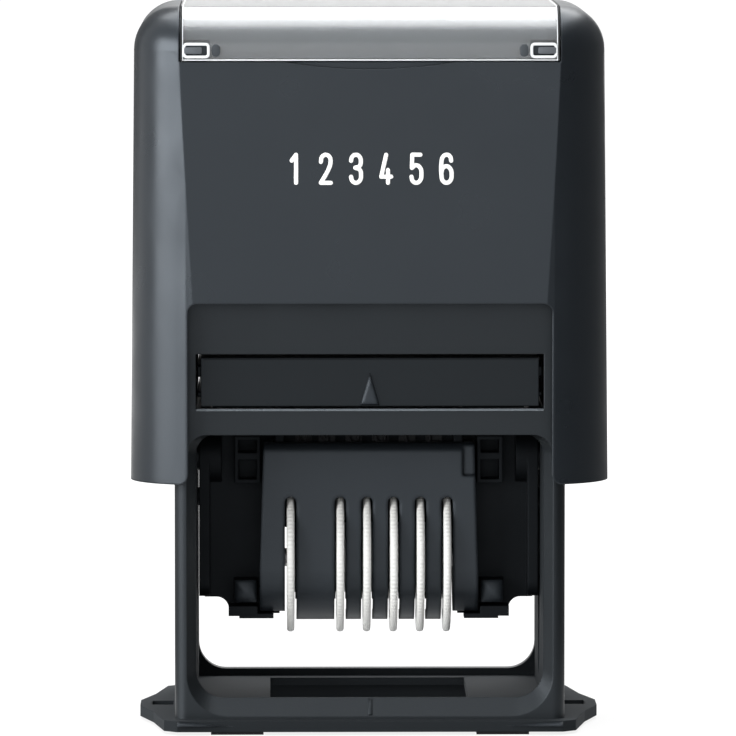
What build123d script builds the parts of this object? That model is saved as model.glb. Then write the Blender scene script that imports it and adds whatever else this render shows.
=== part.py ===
from build123d import *
from math import atan2, cos, degrees, pi, radians, sin, sqrt, tan
import os

# Self-inking numbering stamp. A cap slides down a frame, turns the number
# unit over on its way and prints the six digits through the floor.
# Millimetres. X runs along the row of digits, Y to the back and Z up.
# The origin is the centre of the footprint, on the surface it stands on.

os.makedirs("parts", exist_ok=True)

# ---------------------------------------------------------------- travel
pad_face_z = 42.35         # inked face of the pad, where the digits rest
stroke = 27.0              # how far the cap is pressed down
axle_z = (pad_face_z + stroke) / 2      # the digits reach the pad and the paper
turn_drop = stroke / pi                 # drop of the axle for each radian

axle_pin_radius = 2.0
axle_pin_gap = 0.08        # pin in the number unit
axle_slot_gap = 0.2        # pin in the frame's slot
follower_radius = 1.2
follower_arm = 5.5         # axle to follower pin
groove_gap = 0.2
groove_depth = 1.3
groove_points = 13

# ----------------------------------------------------------------- frame
frame_width = 50.6
frame_depth = 34.8
frame_height = 59.0
frame_corner = 1.6
side_wall = 2.8
end_wall = 2.0
foot_height = 0.4          # how far the rubber feet stand out below
flange_thickness = 1.4
flange_depth = 39.0
flange_front_width = 50.0
flange_corner_width = 53.4
flange_corner_depth = 36.2
ear_width = 60.1           # tip to tip
ear_tip_depth = 5.6
ear_waist_width = 56.4
ear_waist_depth = 18.8
ear_slot_width = 2.8
ear_slot_gap = 0.4             # from the frame's side
ear_slot_depth = 4.0
floor_z = 3.5              # top of the floor
floor_thickness = 1.0
aperture_width = 25.9
aperture_depth = 26.0
sill_z = 4.45
opening_top_z = 38.8
opening_top_corner = 2.6
opening_foot_corner = 3.6
lip_width = 1.25           # bevelled edge round the front opening
lip_depth = 1.5
lip_sill_drop = 2.3
lip_foot_corner = 5.4
pad_slot_z = 42.2
pad_slot_height = 7.1
deck_thickness = 1.8
rail_width = 2.0
rail_thickness = 1.2

inner_width = frame_width - 2 * side_wall
inner_depth = frame_depth - 2 * end_wall
base_bottom_z = foot_height
deck_top_z = pad_slot_z + pad_slot_height + deck_thickness

# ------------------------------------------------------------------ feet
foot_length = 6.8
foot_width = 3.0
foot_centre_x = 17.2
foot_inset = 0.5           # from the flange's edge
foot_recess = 0.5

# ------------------------------------------------------------------- cap
cap_top_z = 94.2
cap_bottom_z = 32.6
cap_bottom_width = 62.1
cap_top_width = 60.9
cap_bottom_depth = 41.4
cap_top_depth = 38.3           # panels lean back more than the cheeks do
cap_wall = 1.6
cap_roof = 2.0
cap_head_gap = 0.6              # frame to the cap's shoulder when pressed
cap_edge_radius = 5.7
crease_bottom_width = 42.8     # flat panel between the two cheeks, at the cap's foot
crease_angle = 14.0            # cheek leaves the panel at this angle
cheek_crown_margin = 3.2       # cheek's rounding at the top, beyond the crown's
cutout_width = 47.0
cutout_top_z = 56.0
cutout_corner = 1.2
cheek_foot_corner = 1.3
pin_rib_width = 6.8
pin_rib_height = 9.0
pin_rib_gap = 0.4              # rib to the frame's outer wall
thumb_notch_width = 24.0
thumb_notch_drop = 1.1
thumb_notch_depth = 0.5

cap_height = cap_top_z - cap_bottom_z
cheek_radius = cap_edge_radius + cheek_crown_margin + (cap_bottom_width - cap_top_width) / 2
cap_draft = degrees(atan2(cap_bottom_width - cap_top_width, 2 * cap_height))

# ---------------------------------------------------------------- window
window_width = 48.8
window_thickness = 1.2
window_bottom_z = 87.3
window_gap = 0.15
card_thickness = 0.3
card_gap = 0.1                 # card to window
card_margin = 0.2
catch_width = 3.5
catch_height = 2.0
catch_rim = 0.4
catch_relief = 0.2
catch_margin = 0.3
catch_gap = 0.1

# --------------------------------------------------------------- cassette
cassette_width = 43.7
cassette_depth = 33.6
cassette_lift = 0.3            # running gap above the rails
cassette_height = 6.25
cassette_roof = 1.5
pad_width = 38.0
pad_depth = 27.0
pad_gap = 0.1
arrow_width = 2.2
arrow_height = 3.7
arrow_relief = 0.3
arrow_base = 0.3               # arrow's foot above the cassette's bottom edge

# ------------------------------------------------------------ number unit
unit_width = 44.5
unit_side_wall = 1.4
unit_side_depth = 9.0
unit_side_corner = 2.0
unit_bottom_z = 16.25
hub_radius = 3.8
hub_length = 2.9
bore_depth = 2.5
pin_end_gap = 0.3
cheek_span = 22.2              # between the inner faces of the inner cheeks
cheek_wall = 1.2
cheek_foot_radius = 5.8
cheek_corner = 1.0
cheek_top_depth = 8.6
cheek_top_z = 41.0
web_front_y = -1.6
web_thickness = 1.4
web_top_z = 38.0
web_foot_z = 13.85
web_foot_width = 6.1
web_drop = 0.2                 # web's edge below the foot of the outer arm
web_step_radius = 1.6
foot_rib_width = 3.8
foot_rib_height = 1.3
boss_inset = 2.35              # from the inner cheek
boss_size = 3.0
boss_z = 15.65
boss_proud = 3.4
boss_draft = 3.0
ledge_inset = 0.2              # from the inner cheek, under the cover's foot
ledge_width = 4.5
ledge_height = 0.6
ledge_gap = 0.3
bracket_inset = 1.9
bracket_size = 3.4
bracket_z = 31.3
bracket_height = 6.2
bracket_wall = 0.5
bracket_bar = 0.9              # bar between its two pockets
bracket_bar_z = 34.4
bracket_proud = 2.6
bridge_top_z = 38.0
bridge_thickness = 1.2
bridge_back_y = 6.6
guard_gap = 0.8                # from the wheels' rims to the guard behind them
guard_foot_z = 24.0
guard_bend_z = 29.0
guard_top_z = 32.2

# ----------------------------------------------------------------- wheels
wheel_count = 6
wheel_z = 21.1
wheel_radius = 9.8
wheel_thickness = 1.0
wheel_pitch = 3.5
wheel_gap = 0.1                # running gap from one wheel to the next
wheel_end_x = 10.25            # discs of the first and the last wheel
wheel_teeth = 44
tooth_depth = 0.32
drum_radius = 4.6
drum_width = wheel_pitch - wheel_thickness - wheel_gap
shaft_radius = 1.2
shaft_gap = 0.06

# ------------------------------------------------------------------ bands
band_gap = 0.1                 # band to drum
band_thickness = 0.8
band_side_gap = 0.1            # band to the discs on either side
type_height = 0.4              # how far the digits stand out of the band
platen_depth = 5.8
platen_corner = 0.8
platen_bottom_z = 36.4
platen_z = pad_face_z - type_height - band_thickness
band_width = drum_width - 2 * band_side_gap

# ------------------------------------------------------------------ cover
cover_radius = 7.0
cover_wrap_z = 19.9            # centre of the wrap under the wheels
cover_wall = 0.9
cover_top_z = 36.8
cover_top_width = 27.6
cover_foot_width = 28.6
cover_top_inset = 0.6          # top edge set back from the face
cover_top_corner = 1.4
cover_flank_gap = 0.25         # to the inner cheeks and the web
cover_lip = 1.6
cover_open_drop = 9.6          # how far the open top reaches down behind the lip
cover_tail = 1.6               # how far the wrap goes behind the axis
cover_slot_width = 1.5
cover_slot_top_z = 29.7
cover_side_bottom_z = 14.45
key_step_width = 1.5           # shallow step in the corner of the face
key_step_height = 4.3
key_step_depth = 0.35

# ----------------------------------------------------------------- spring
spring_radius = 5.4
spring_wire = 1.0
spring_turns = 5
seat_gap = 0.3                 # stud inside the coil
seat_height = 3.0
seat_radius = spring_radius - spring_wire / 2 - seat_gap


def wheel_positions():
    """X of each setting disc, and the side of it on which its drum lies."""
    places = [(-wheel_end_x, 1)]
    for step in range(wheel_count - 1):
        places.append((wheel_end_x - (wheel_count - 2 - step) * wheel_pitch, -1))
    return places


def drum_centre(disc_x, side):
    return disc_x + side * (wheel_thickness + drum_width) / 2


def at_level(z, bottom_value, top_value):
    """A size of the cap at height z, between its bottom and its top."""
    share = (z - cap_bottom_z) / (cap_top_z - cap_bottom_z)
    return bottom_value + share * (top_value - bottom_value)


def cap_plan(inset):
    """Plan of the cap's foot, inset from its surface: a slanted strip, then a round cheek."""
    lean = radians(crease_angle)
    strip_x = crease_bottom_width / 2 - cheek_radius / 2
    side_x = cap_bottom_width / 2 - inset
    crease_y = cap_bottom_depth / 2 - inset / cos(lean)
    strip_y = crease_y + (crease_bottom_width / 2 - strip_x) * tan(lean)
    side_y = crease_y - (side_x - crease_bottom_width / 2) * tan(lean)
    radius = cheek_radius - inset
    FilletPolyline((-strip_x, -strip_y), (strip_x, -strip_y), (side_x, -side_y), (side_x, side_y),
                   (strip_x, strip_y), (-strip_x, strip_y), (-side_x, side_y), (-side_x, -side_y),
                   radius=(0, 0, radius, radius, 0, 0, radius, radius), close=True)


def cap_side(inset, low_z, high_z):
    """Side view of the cap between two heights, inset from its leaning panels."""
    low_y = at_level(low_z, cap_bottom_depth, cap_top_depth) / 2 - inset
    high_y = at_level(high_z, cap_bottom_depth, cap_top_depth) / 2 - inset
    Polyline((-low_y, low_z), (low_y, low_z), (high_y, high_z), (-high_y, high_z), close=True)


def front_and_back(y):
    """Upright planes at -y and +y that both face outwards."""
    return (Plane(origin=(0, -y, 0), x_dir=(1, 0, 0), z_dir=(0, -1, 0)),
            Plane(origin=(0, y, 0), x_dir=(-1, 0, 0), z_dir=(0, 1, 0)))


def strip_outline(inset, bottom_z):
    """Side profile of the cap's head, rounded at both edges, inset from its surface."""
    bottom_y = at_level(bottom_z, cap_bottom_depth, cap_top_depth) / 2 - inset
    top_z = cap_top_z - inset
    top_y = at_level(top_z, cap_bottom_depth, cap_top_depth) / 2 - inset
    FilletPolyline((-bottom_y, bottom_z), (-top_y, top_z), (top_y, top_z), (bottom_y, bottom_z),
                   radius=cap_edge_radius - inset)
    Line((bottom_y, bottom_z), (-bottom_y, bottom_z))


def band_outline(inset):
    """Side profile of a number band's path round its drum and the platen."""
    corner = platen_corner + inset
    for side in (-1, 1):
        with Locations((side * (platen_depth / 2 - platen_corner), platen_z - platen_corner)):
            Circle(corner)
    with Locations((0, wheel_z)):
        Circle(drum_radius + band_gap + inset)
    make_hull()


def opening_outline(width, bottom_z, foot_corner):
    """Outline of the frame's opening, drawn in the front plane."""
    FilletPolyline((-width / 2, bottom_z), (width / 2, bottom_z),
                   (width / 2, opening_top_z), (-width / 2, opening_top_z),
                   radius=(foot_corner, foot_corner, opening_top_corner, opening_top_corner),
                   close=True)


# ============================================================ base frame
with BuildPart() as base_frame:
    with BuildSketch(Plane.XY.offset(base_bottom_z)):
        with BuildLine():
            Polyline((0, -flange_depth / 2),
                     (flange_front_width / 2, -flange_depth / 2),
                     (flange_corner_width / 2, -flange_corner_depth / 2),
                     (ear_waist_width / 2, -ear_waist_depth / 2),
                     (ear_width / 2, -ear_tip_depth / 2),
                     (ear_width / 2, 0))
            mirror(about=Plane.XZ)
            mirror(about=Plane.YZ)
        make_face()
    extrude(amount=flange_thickness)
    with BuildSketch(Plane.XY.offset(base_bottom_z)):
        RectangleRounded(frame_width, frame_depth, frame_corner)
    extrude(amount=frame_height - base_bottom_z)

    # Well above the deck, where the springs stand
    with BuildSketch(Plane.XY.offset(deck_top_z)):
        Rectangle(inner_width, inner_depth)
    extrude(amount=frame_height - deck_top_z, mode=Mode.SUBTRACT)

    # Shaft in which the number unit turns, open to the pad slot above
    with BuildSketch(Plane.XY.offset(floor_z)):
        Rectangle(inner_width, inner_depth)
    extrude(amount=pad_slot_z - floor_z, mode=Mode.SUBTRACT)

    # Front and back openings, and the slot for the pad cassette
    with BuildSketch(Plane.XZ):
        with BuildLine():
            opening_outline(inner_width, sill_z, opening_foot_corner)
        make_face()
    extrude(amount=frame_depth, both=True, mode=Mode.SUBTRACT)
    with BuildSketch(Plane.XZ):
        with Locations((0, pad_slot_z + pad_slot_height / 2)):
            Rectangle(inner_width, pad_slot_height)
    extrude(amount=frame_depth, both=True, mode=Mode.SUBTRACT)

    # Hollow underside, and the aperture that the digits print through
    with BuildSketch(Plane.XY.offset(base_bottom_z)):
        Rectangle(inner_width, inner_depth)
    extrude(amount=floor_z - floor_thickness - base_bottom_z, mode=Mode.SUBTRACT)
    with BuildSketch(Plane.XY.offset(base_bottom_z)):
        Rectangle(aperture_width, aperture_depth)
    extrude(amount=floor_z - base_bottom_z, mode=Mode.SUBTRACT)

    # Rails that carry the cassette along the side walls
    with BuildSketch(Plane.XY.offset(pad_slot_z - rail_thickness)):
        for side in (-1, 1):
            with Locations((side * (inner_width - rail_width) / 2, 0)):
                Rectangle(rail_width, inner_depth)
    extrude(amount=rail_thickness)

    # Stud that keeps the return spring in place
    with BuildSketch(Plane.XY.offset(deck_top_z)):
        Circle(seat_radius)
    extrude(amount=seat_height)

    # Upright slots in the side walls for the cap's axle pins
    with BuildSketch(Plane.YZ):
        with Locations((0, axle_z - stroke / 2)):
            SlotCenterToCenter(stroke, 2 * (axle_pin_radius + axle_slot_gap), rotation=90)
    extrude(amount=frame_width, both=True, mode=Mode.SUBTRACT)

    # Turning grooves: the follower pins run in them, and so turn the unit over
    groove_path = []
    for step in range(groove_points):
        turn = pi * step / (groove_points - 1)
        groove_path.append((follower_arm * sin(turn),
                            axle_z - turn_drop * turn - follower_arm * cos(turn)))
    groove_planes = (Plane.YZ.offset(inner_width / 2),
                     Plane.YZ.offset(-inner_width / 2 - groove_depth))
    for groove_plane in groove_planes:
        with BuildSketch(groove_plane):
            with BuildLine():
                Spline(groove_path)
            trace(line_width=2 * (follower_radius + groove_gap))
            with Locations(groove_path[0], groove_path[-1]):
                Circle(follower_radius + groove_gap)
        extrude(amount=groove_depth, mode=Mode.SUBTRACT)

    # Bevelled lip round the front opening
    with BuildSketch(Plane.XZ.offset(frame_depth / 2)):
        with BuildLine():
            opening_outline(inner_width + 2 * lip_width, sill_z - lip_sill_drop, lip_foot_corner)
        make_face()
    with BuildSketch(Plane.XZ.offset(frame_depth / 2 - lip_depth)):
        with BuildLine():
            opening_outline(inner_width, sill_z, opening_foot_corner)
        make_face()
    loft(mode=Mode.SUBTRACT)

    # Slots in the ears
    with BuildSketch(Plane.XY.offset(base_bottom_z)):
        slot_x = frame_width / 2 + ear_slot_gap + ear_slot_width / 2
        with Locations((-slot_x, 0), (slot_x, 0)):
            Rectangle(ear_slot_width, ear_slot_depth)
    extrude(amount=flange_thickness, mode=Mode.SUBTRACT)

    # Recesses for the rubber feet
    foot_y = flange_depth / 2 - foot_inset - foot_width / 2
    with BuildSketch(Plane.XY.offset(base_bottom_z)):
        with GridLocations(2 * foot_centre_x, 2 * foot_y, 2, 2):
            Rectangle(foot_length, foot_width)
    extrude(amount=foot_recess, mode=Mode.SUBTRACT)

with BuildPart() as foot_pads:
    with BuildSketch():
        with GridLocations(2 * foot_centre_x, 2 * foot_y, 2, 2):
            Rectangle(foot_length, foot_width)
    extrude(amount=foot_height + foot_recess)

# =============================================================== cassette
cassette_bottom_z = pad_slot_z + cassette_lift
with BuildPart() as pad_cassette:
    with BuildSketch(Plane.XY.offset(cassette_bottom_z)):
        Rectangle(cassette_width, cassette_depth)
    extrude(amount=cassette_height)
    with BuildSketch(Plane.XY.offset(cassette_bottom_z)):
        Rectangle(pad_width + 2 * pad_gap, pad_depth + 2 * pad_gap)
    extrude(amount=cassette_height - cassette_roof, mode=Mode.SUBTRACT)
    with BuildSketch(Plane.XZ.offset(cassette_depth / 2)):
        with BuildLine():
            arrow_z = cassette_bottom_z + arrow_base
            Polyline((-arrow_width / 2, arrow_z),
                     (arrow_width / 2, arrow_z),
                     (0, arrow_z + arrow_height),
                     (-arrow_width / 2, arrow_z))
        make_face()
    extrude(amount=arrow_relief)

with BuildPart() as ink_pad:
    pad_roof_z = cassette_bottom_z + cassette_height - cassette_roof
    with BuildSketch(Plane.XY.offset(pad_face_z)):
        Rectangle(pad_width, pad_depth)
    extrude(amount=pad_roof_z - pad_face_z)

# ==================================================================== cap
recess_depth = window_thickness + card_gap + card_thickness
cap_shoulder_z = frame_height + stroke + cap_head_gap
cap_roof_z = cap_top_z - recess_depth - cap_roof
catch_x = window_width / 2 - catch_margin - catch_width / 2
catch_z = window_bottom_z + catch_margin + catch_height / 2
strip_y = at_level(window_bottom_z, cap_bottom_depth, cap_top_depth) / 2
hub_end_x = unit_width / 2 - bore_depth + pin_end_gap
rib_x = frame_width / 2 + pin_rib_gap

# Space inside the cap: it slides over the frame, and is narrower under the window
with BuildPart() as cap_cavity:
    with BuildSketch(Plane.XY.offset(cap_bottom_z)):
        with BuildLine():
            cap_plan(cap_wall)
        make_face()
    extrude(amount=cap_roof_z - cap_bottom_z, taper=cap_draft)
    with BuildSketch(Plane.YZ):
        with BuildLine():
            cap_side(cap_wall, cap_bottom_z, cap_shoulder_z)
        make_face()
        with BuildLine():
            cap_side(cap_wall + recess_depth, cap_shoulder_z, cap_roof_z)
        make_face()
    extrude(amount=cap_bottom_width, both=True, mode=Mode.INTERSECT)

with BuildPart() as cap_shell:
    with BuildSketch(Plane.XY.offset(cap_bottom_z)):
        with BuildLine():
            cap_plan(0)
        make_face()
    extrude(amount=cap_height, taper=cap_draft)
    fillet(faces().sort_by(Axis.Z)[-1].edges(), cap_edge_radius)
    with BuildSketch(Plane.YZ):
        with BuildLine():
            strip_outline(0, cap_bottom_z)
        make_face()
    extrude(amount=cap_bottom_width, both=True, mode=Mode.INTERSECT)
    add(cap_cavity.part, mode=Mode.SUBTRACT)

    # Cut-outs front and back, between the cheeks, whose feet are rounded
    half_cutout = cutout_width / 2
    flare_x = half_cutout + 2 * cheek_foot_corner
    flare_z = cap_bottom_z - cheek_foot_corner
    with BuildSketch(Plane.XZ):
        with BuildLine():
            FilletPolyline((-flare_x, flare_z), (flare_x, flare_z), (flare_x, cap_bottom_z),
                           (half_cutout, cap_bottom_z), (half_cutout, cutout_top_z),
                           (-half_cutout, cutout_top_z), (-half_cutout, cap_bottom_z),
                           (-flare_x, cap_bottom_z),
                           radius=(0, 0, 0, cheek_foot_corner, cutout_corner,
                                   cutout_corner, cheek_foot_corner, 0),
                           close=True)
        make_face()
    extrude(amount=cap_bottom_depth, both=True, mode=Mode.SUBTRACT)

    # Seat of the window and its card
    with BuildSketch(Plane.YZ):
        with BuildLine():
            strip_outline(-window_thickness, window_bottom_z - window_gap)
        make_face()
        with BuildLine():
            strip_outline(recess_depth, window_bottom_z - window_gap)
        make_face(mode=Mode.SUBTRACT)
    extrude(amount=window_width / 2 + window_gap, both=True, mode=Mode.SUBTRACT)

    # Scoops for a fingernail below the window, and the catches that hold it
    for wall_plane in front_and_back(strip_y - thumb_notch_depth):
        with BuildSketch(wall_plane):
            with BuildLine():
                half_notch = thumb_notch_width / 2
                Line((-half_notch, window_bottom_z), (half_notch, window_bottom_z))
                ThreePointArc((half_notch, window_bottom_z),
                              (0, window_bottom_z - thumb_notch_drop),
                              (-half_notch, window_bottom_z))
            make_face()
        extrude(amount=cap_wall, mode=Mode.SUBTRACT)
    for wall_plane in front_and_back(strip_y - recess_depth - cap_wall / 2):
        with BuildSketch(wall_plane):
            with Locations((-catch_x, catch_z), (catch_x, catch_z)):
                Rectangle(catch_width - 2 * catch_rim, catch_height - 2 * catch_rim)
        extrude(amount=cap_wall / 2 + recess_depth - catch_relief)

    # Stud under the roof for the return spring
    with BuildSketch(Plane.XY.offset(cap_roof_z)):
        Circle(seat_radius)
    extrude(amount=-seat_height)

    # Ribs inside the cheeks, with the axle pins that turn and carry the unit
    rib_reach = at_level(cap_bottom_z, cap_bottom_width, cap_top_width) / 2 - cap_wall / 2 - rib_x
    for side in (-1, 1):
        rib_plane = Plane(origin=(side * rib_x, 0, 0), x_dir=(0, side, 0), z_dir=(side, 0, 0))
        with BuildSketch(rib_plane):
            with Locations((0, cap_bottom_z + pin_rib_height / 2)):
                Rectangle(pin_rib_width, pin_rib_height)
        extrude(amount=rib_reach)
        with BuildSketch(rib_plane):
            with Locations((0, axle_z)):
                Circle(axle_pin_radius)
        extrude(amount=hub_end_x - rib_x)

with BuildPart() as index_window:
    with BuildSketch(Plane.YZ):
        with BuildLine():
            strip_outline(0, window_bottom_z)
        make_face()
        with BuildLine():
            strip_outline(window_thickness, window_bottom_z)
        make_face(mode=Mode.SUBTRACT)
    extrude(amount=window_width / 2, both=True)
    for wall_plane in front_and_back(strip_y - window_thickness / 2):
        with BuildSketch(wall_plane):
            with Locations((-catch_x, catch_z), (catch_x, catch_z)):
                Rectangle(catch_width, catch_height)
        extrude(amount=window_thickness / 2 + catch_relief)
    for wall_plane in front_and_back(strip_y - 2 * window_thickness):
        with BuildSketch(wall_plane):
            with Locations((-catch_x, catch_z), (catch_x, catch_z)):
                Rectangle(catch_width - 2 * catch_rim + 2 * catch_gap,
                          catch_height - 2 * catch_rim + 2 * catch_gap)
        extrude(amount=3 * window_thickness, mode=Mode.SUBTRACT)

with BuildPart() as index_card:
    with BuildSketch(Plane.YZ):
        with BuildLine():
            strip_outline(window_thickness + card_gap, window_bottom_z + card_margin)
        make_face()
        with BuildLine():
            strip_outline(recess_depth, window_bottom_z + card_margin)
        make_face(mode=Mode.SUBTRACT)
    extrude(amount=window_width / 2 - card_margin, both=True)
    for wall_plane in front_and_back(strip_y - recess_depth - card_thickness):
        with BuildSketch(wall_plane):
            with Locations((-catch_x, catch_z), (catch_x, catch_z)):
                Rectangle(catch_width, catch_height + catch_rim)
        extrude(amount=recess_depth, mode=Mode.SUBTRACT)

# ============================================================ number unit
cheek_outer_x = cheek_span / 2 + cheek_wall
guard_back_y = wheel_radius + guard_gap + bridge_thickness
side_inner_x = unit_width / 2 - unit_side_wall
follower_reach = (inner_width - unit_width) / 2 + groove_depth - groove_gap

with BuildPart() as turning_unit:
    for side in (-1, 1):
        outer_plane = Plane(origin=(side * unit_width / 2, 0, 0), x_dir=(0, side, 0),
                            z_dir=(side, 0, 0))
        cheek_plane = Plane(origin=(side * cheek_outer_x, 0, 0), x_dir=(0, -1, 0),
                            z_dir=(-1, 0, 0))
        # Outer side: a tapering arm that hangs from the hub
        with BuildSketch(outer_plane):
            with Locations((0, axle_z)):
                Circle(hub_radius)
            foot_y = unit_side_depth / 2 - unit_side_corner
            with Locations((-foot_y, unit_bottom_z + unit_side_corner),
                           (foot_y, unit_bottom_z + unit_side_corner)):
                Circle(unit_side_corner)
            make_hull()
        extrude(amount=-unit_side_wall)
        with BuildSketch(outer_plane):
            with Locations((0, axle_z)):
                Circle(hub_radius)
        extrude(amount=-hub_length)
        # Inner cheek beside the wheels, which carries their shaft and the platen
        with BuildSketch(cheek_plane):
            with Locations((0, cover_wrap_z)):
                Circle(cheek_foot_radius)
            for edge_y in (-1, 1):
                with Locations((edge_y * (cheek_top_depth / 2 - cheek_corner),
                                cheek_top_z - cheek_corner)):
                    Circle(cheek_corner)
            with Locations((cheek_corner - bridge_back_y, bridge_top_z - cheek_corner),
                           (cheek_corner - guard_back_y, guard_bend_z - cheek_corner),
                           (cheek_corner - guard_back_y, guard_foot_z + cheek_corner)):
                Circle(cheek_corner)
            make_hull()
        extrude(amount=side * cheek_wall)
        # Web between the two, deeper beside the wheels
        with BuildSketch(Plane.XZ.offset(-web_front_y)):
            with BuildLine():
                web_near_x = side * (cheek_outer_x - cheek_wall / 2)
                web_step_x = side * (cheek_outer_x + web_foot_width)
                web_far_x = side * (side_inner_x + unit_side_wall / 2)
                FilletPolyline((web_near_x, web_foot_z), (web_step_x, web_foot_z),
                               (web_step_x, unit_bottom_z - web_drop),
                               (web_far_x, unit_bottom_z - web_drop),
                               (web_far_x, web_top_z), (web_near_x, web_top_z),
                               radius=(0, 0, web_step_radius, 0, 0, 0), close=True)
            make_face()
        extrude(amount=-web_thickness)
        # Foot rib on the front of the web, with a ledge under the cover's foot
        rib_end_x = cheek_outer_x + web_foot_width
        with BuildSketch(Plane.XZ.offset(-web_front_y)):
            with Locations((side * (rib_end_x - foot_rib_width / 2),
                            web_foot_z + foot_rib_height / 2)):
                Rectangle(foot_rib_width, foot_rib_height)
            with Locations((side * (cheek_outer_x + ledge_inset + ledge_width / 2),
                            cover_side_bottom_z - ledge_gap - ledge_height / 2)):
                Rectangle(ledge_width, ledge_height)
        extrude(amount=boss_proud)
        # Square boss, and the bracket of the hub with its two pockets
        with BuildSketch(Plane.XZ.offset(-web_front_y)):
            with Locations((side * (cheek_outer_x + boss_inset + boss_size / 2),
                            boss_z + boss_size / 2)):
                Rectangle(boss_size, boss_size)
        extrude(amount=boss_proud, taper=boss_draft)
        pocket_width = bracket_size - 2 * bracket_wall
        low_pocket = (bracket_z + bracket_wall, bracket_bar_z)
        high_pocket = (bracket_bar_z + bracket_bar, bracket_z + bracket_height - bracket_wall)
        with BuildSketch(Plane.XZ.offset(-web_front_y)):
            bracket_x = side * (cheek_outer_x + bracket_inset + bracket_size / 2)
            with Locations((bracket_x, bracket_z + bracket_height / 2)):
                Rectangle(bracket_size, bracket_height)
            for pocket_bottom, pocket_top in (low_pocket, high_pocket):
                with Locations((bracket_x, (pocket_bottom + pocket_top) / 2)):
                    Rectangle(pocket_width, pocket_top - pocket_bottom, mode=Mode.SUBTRACT)
        extrude(amount=bracket_proud)
        # Bore for the cap's axle pin, and the follower pin below it
        with BuildSketch(outer_plane):
            with Locations((0, axle_z)):
                Circle(axle_pin_radius + axle_pin_gap)
        extrude(amount=-bore_depth, mode=Mode.SUBTRACT)
        with BuildSketch(outer_plane):
            with Locations((0, axle_z - follower_arm)):
                Circle(follower_radius)
        extrude(amount=follower_reach)
    # Bridge behind the bands, with a guard that goes down behind the wheels
    bridge_front_y = bridge_back_y - bridge_thickness
    with BuildSketch(Plane.YZ):
        with BuildLine():
            Polyline((bridge_front_y, bridge_top_z), (bridge_back_y, bridge_top_z),
                     (bridge_back_y, guard_top_z), (guard_back_y, guard_bend_z),
                     (guard_back_y, guard_foot_z), (guard_back_y - bridge_thickness, guard_foot_z),
                     (guard_back_y - bridge_thickness, guard_bend_z - bridge_thickness / 2),
                     (bridge_front_y, guard_top_z - bridge_thickness / 2), close=True)
        make_face()
    extrude(amount=cheek_span / 2 + cheek_wall / 2, both=True)
    # Holes for the wheel shaft
    with BuildSketch(Plane.YZ):
        with Locations((0, wheel_z)):
            Circle(shaft_radius)
    extrude(amount=cheek_outer_x, both=True, mode=Mode.SUBTRACT)

with BuildPart() as setting_shaft:
    with BuildSketch(Plane.YZ):
        with Locations((0, wheel_z)):
            Circle(shaft_radius)
    extrude(amount=cheek_outer_x, both=True)

with BuildPart() as band_platen:
    with BuildSketch(Plane.YZ):
        with BuildLine():
            FilletPolyline((-platen_depth / 2, platen_bottom_z), (platen_depth / 2, platen_bottom_z),
                           (platen_depth / 2, platen_z), (-platen_depth / 2, platen_z),
                           radius=(0, 0, platen_corner, platen_corner), close=True)
        make_face()
    extrude(amount=cheek_span / 2, both=True)

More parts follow.
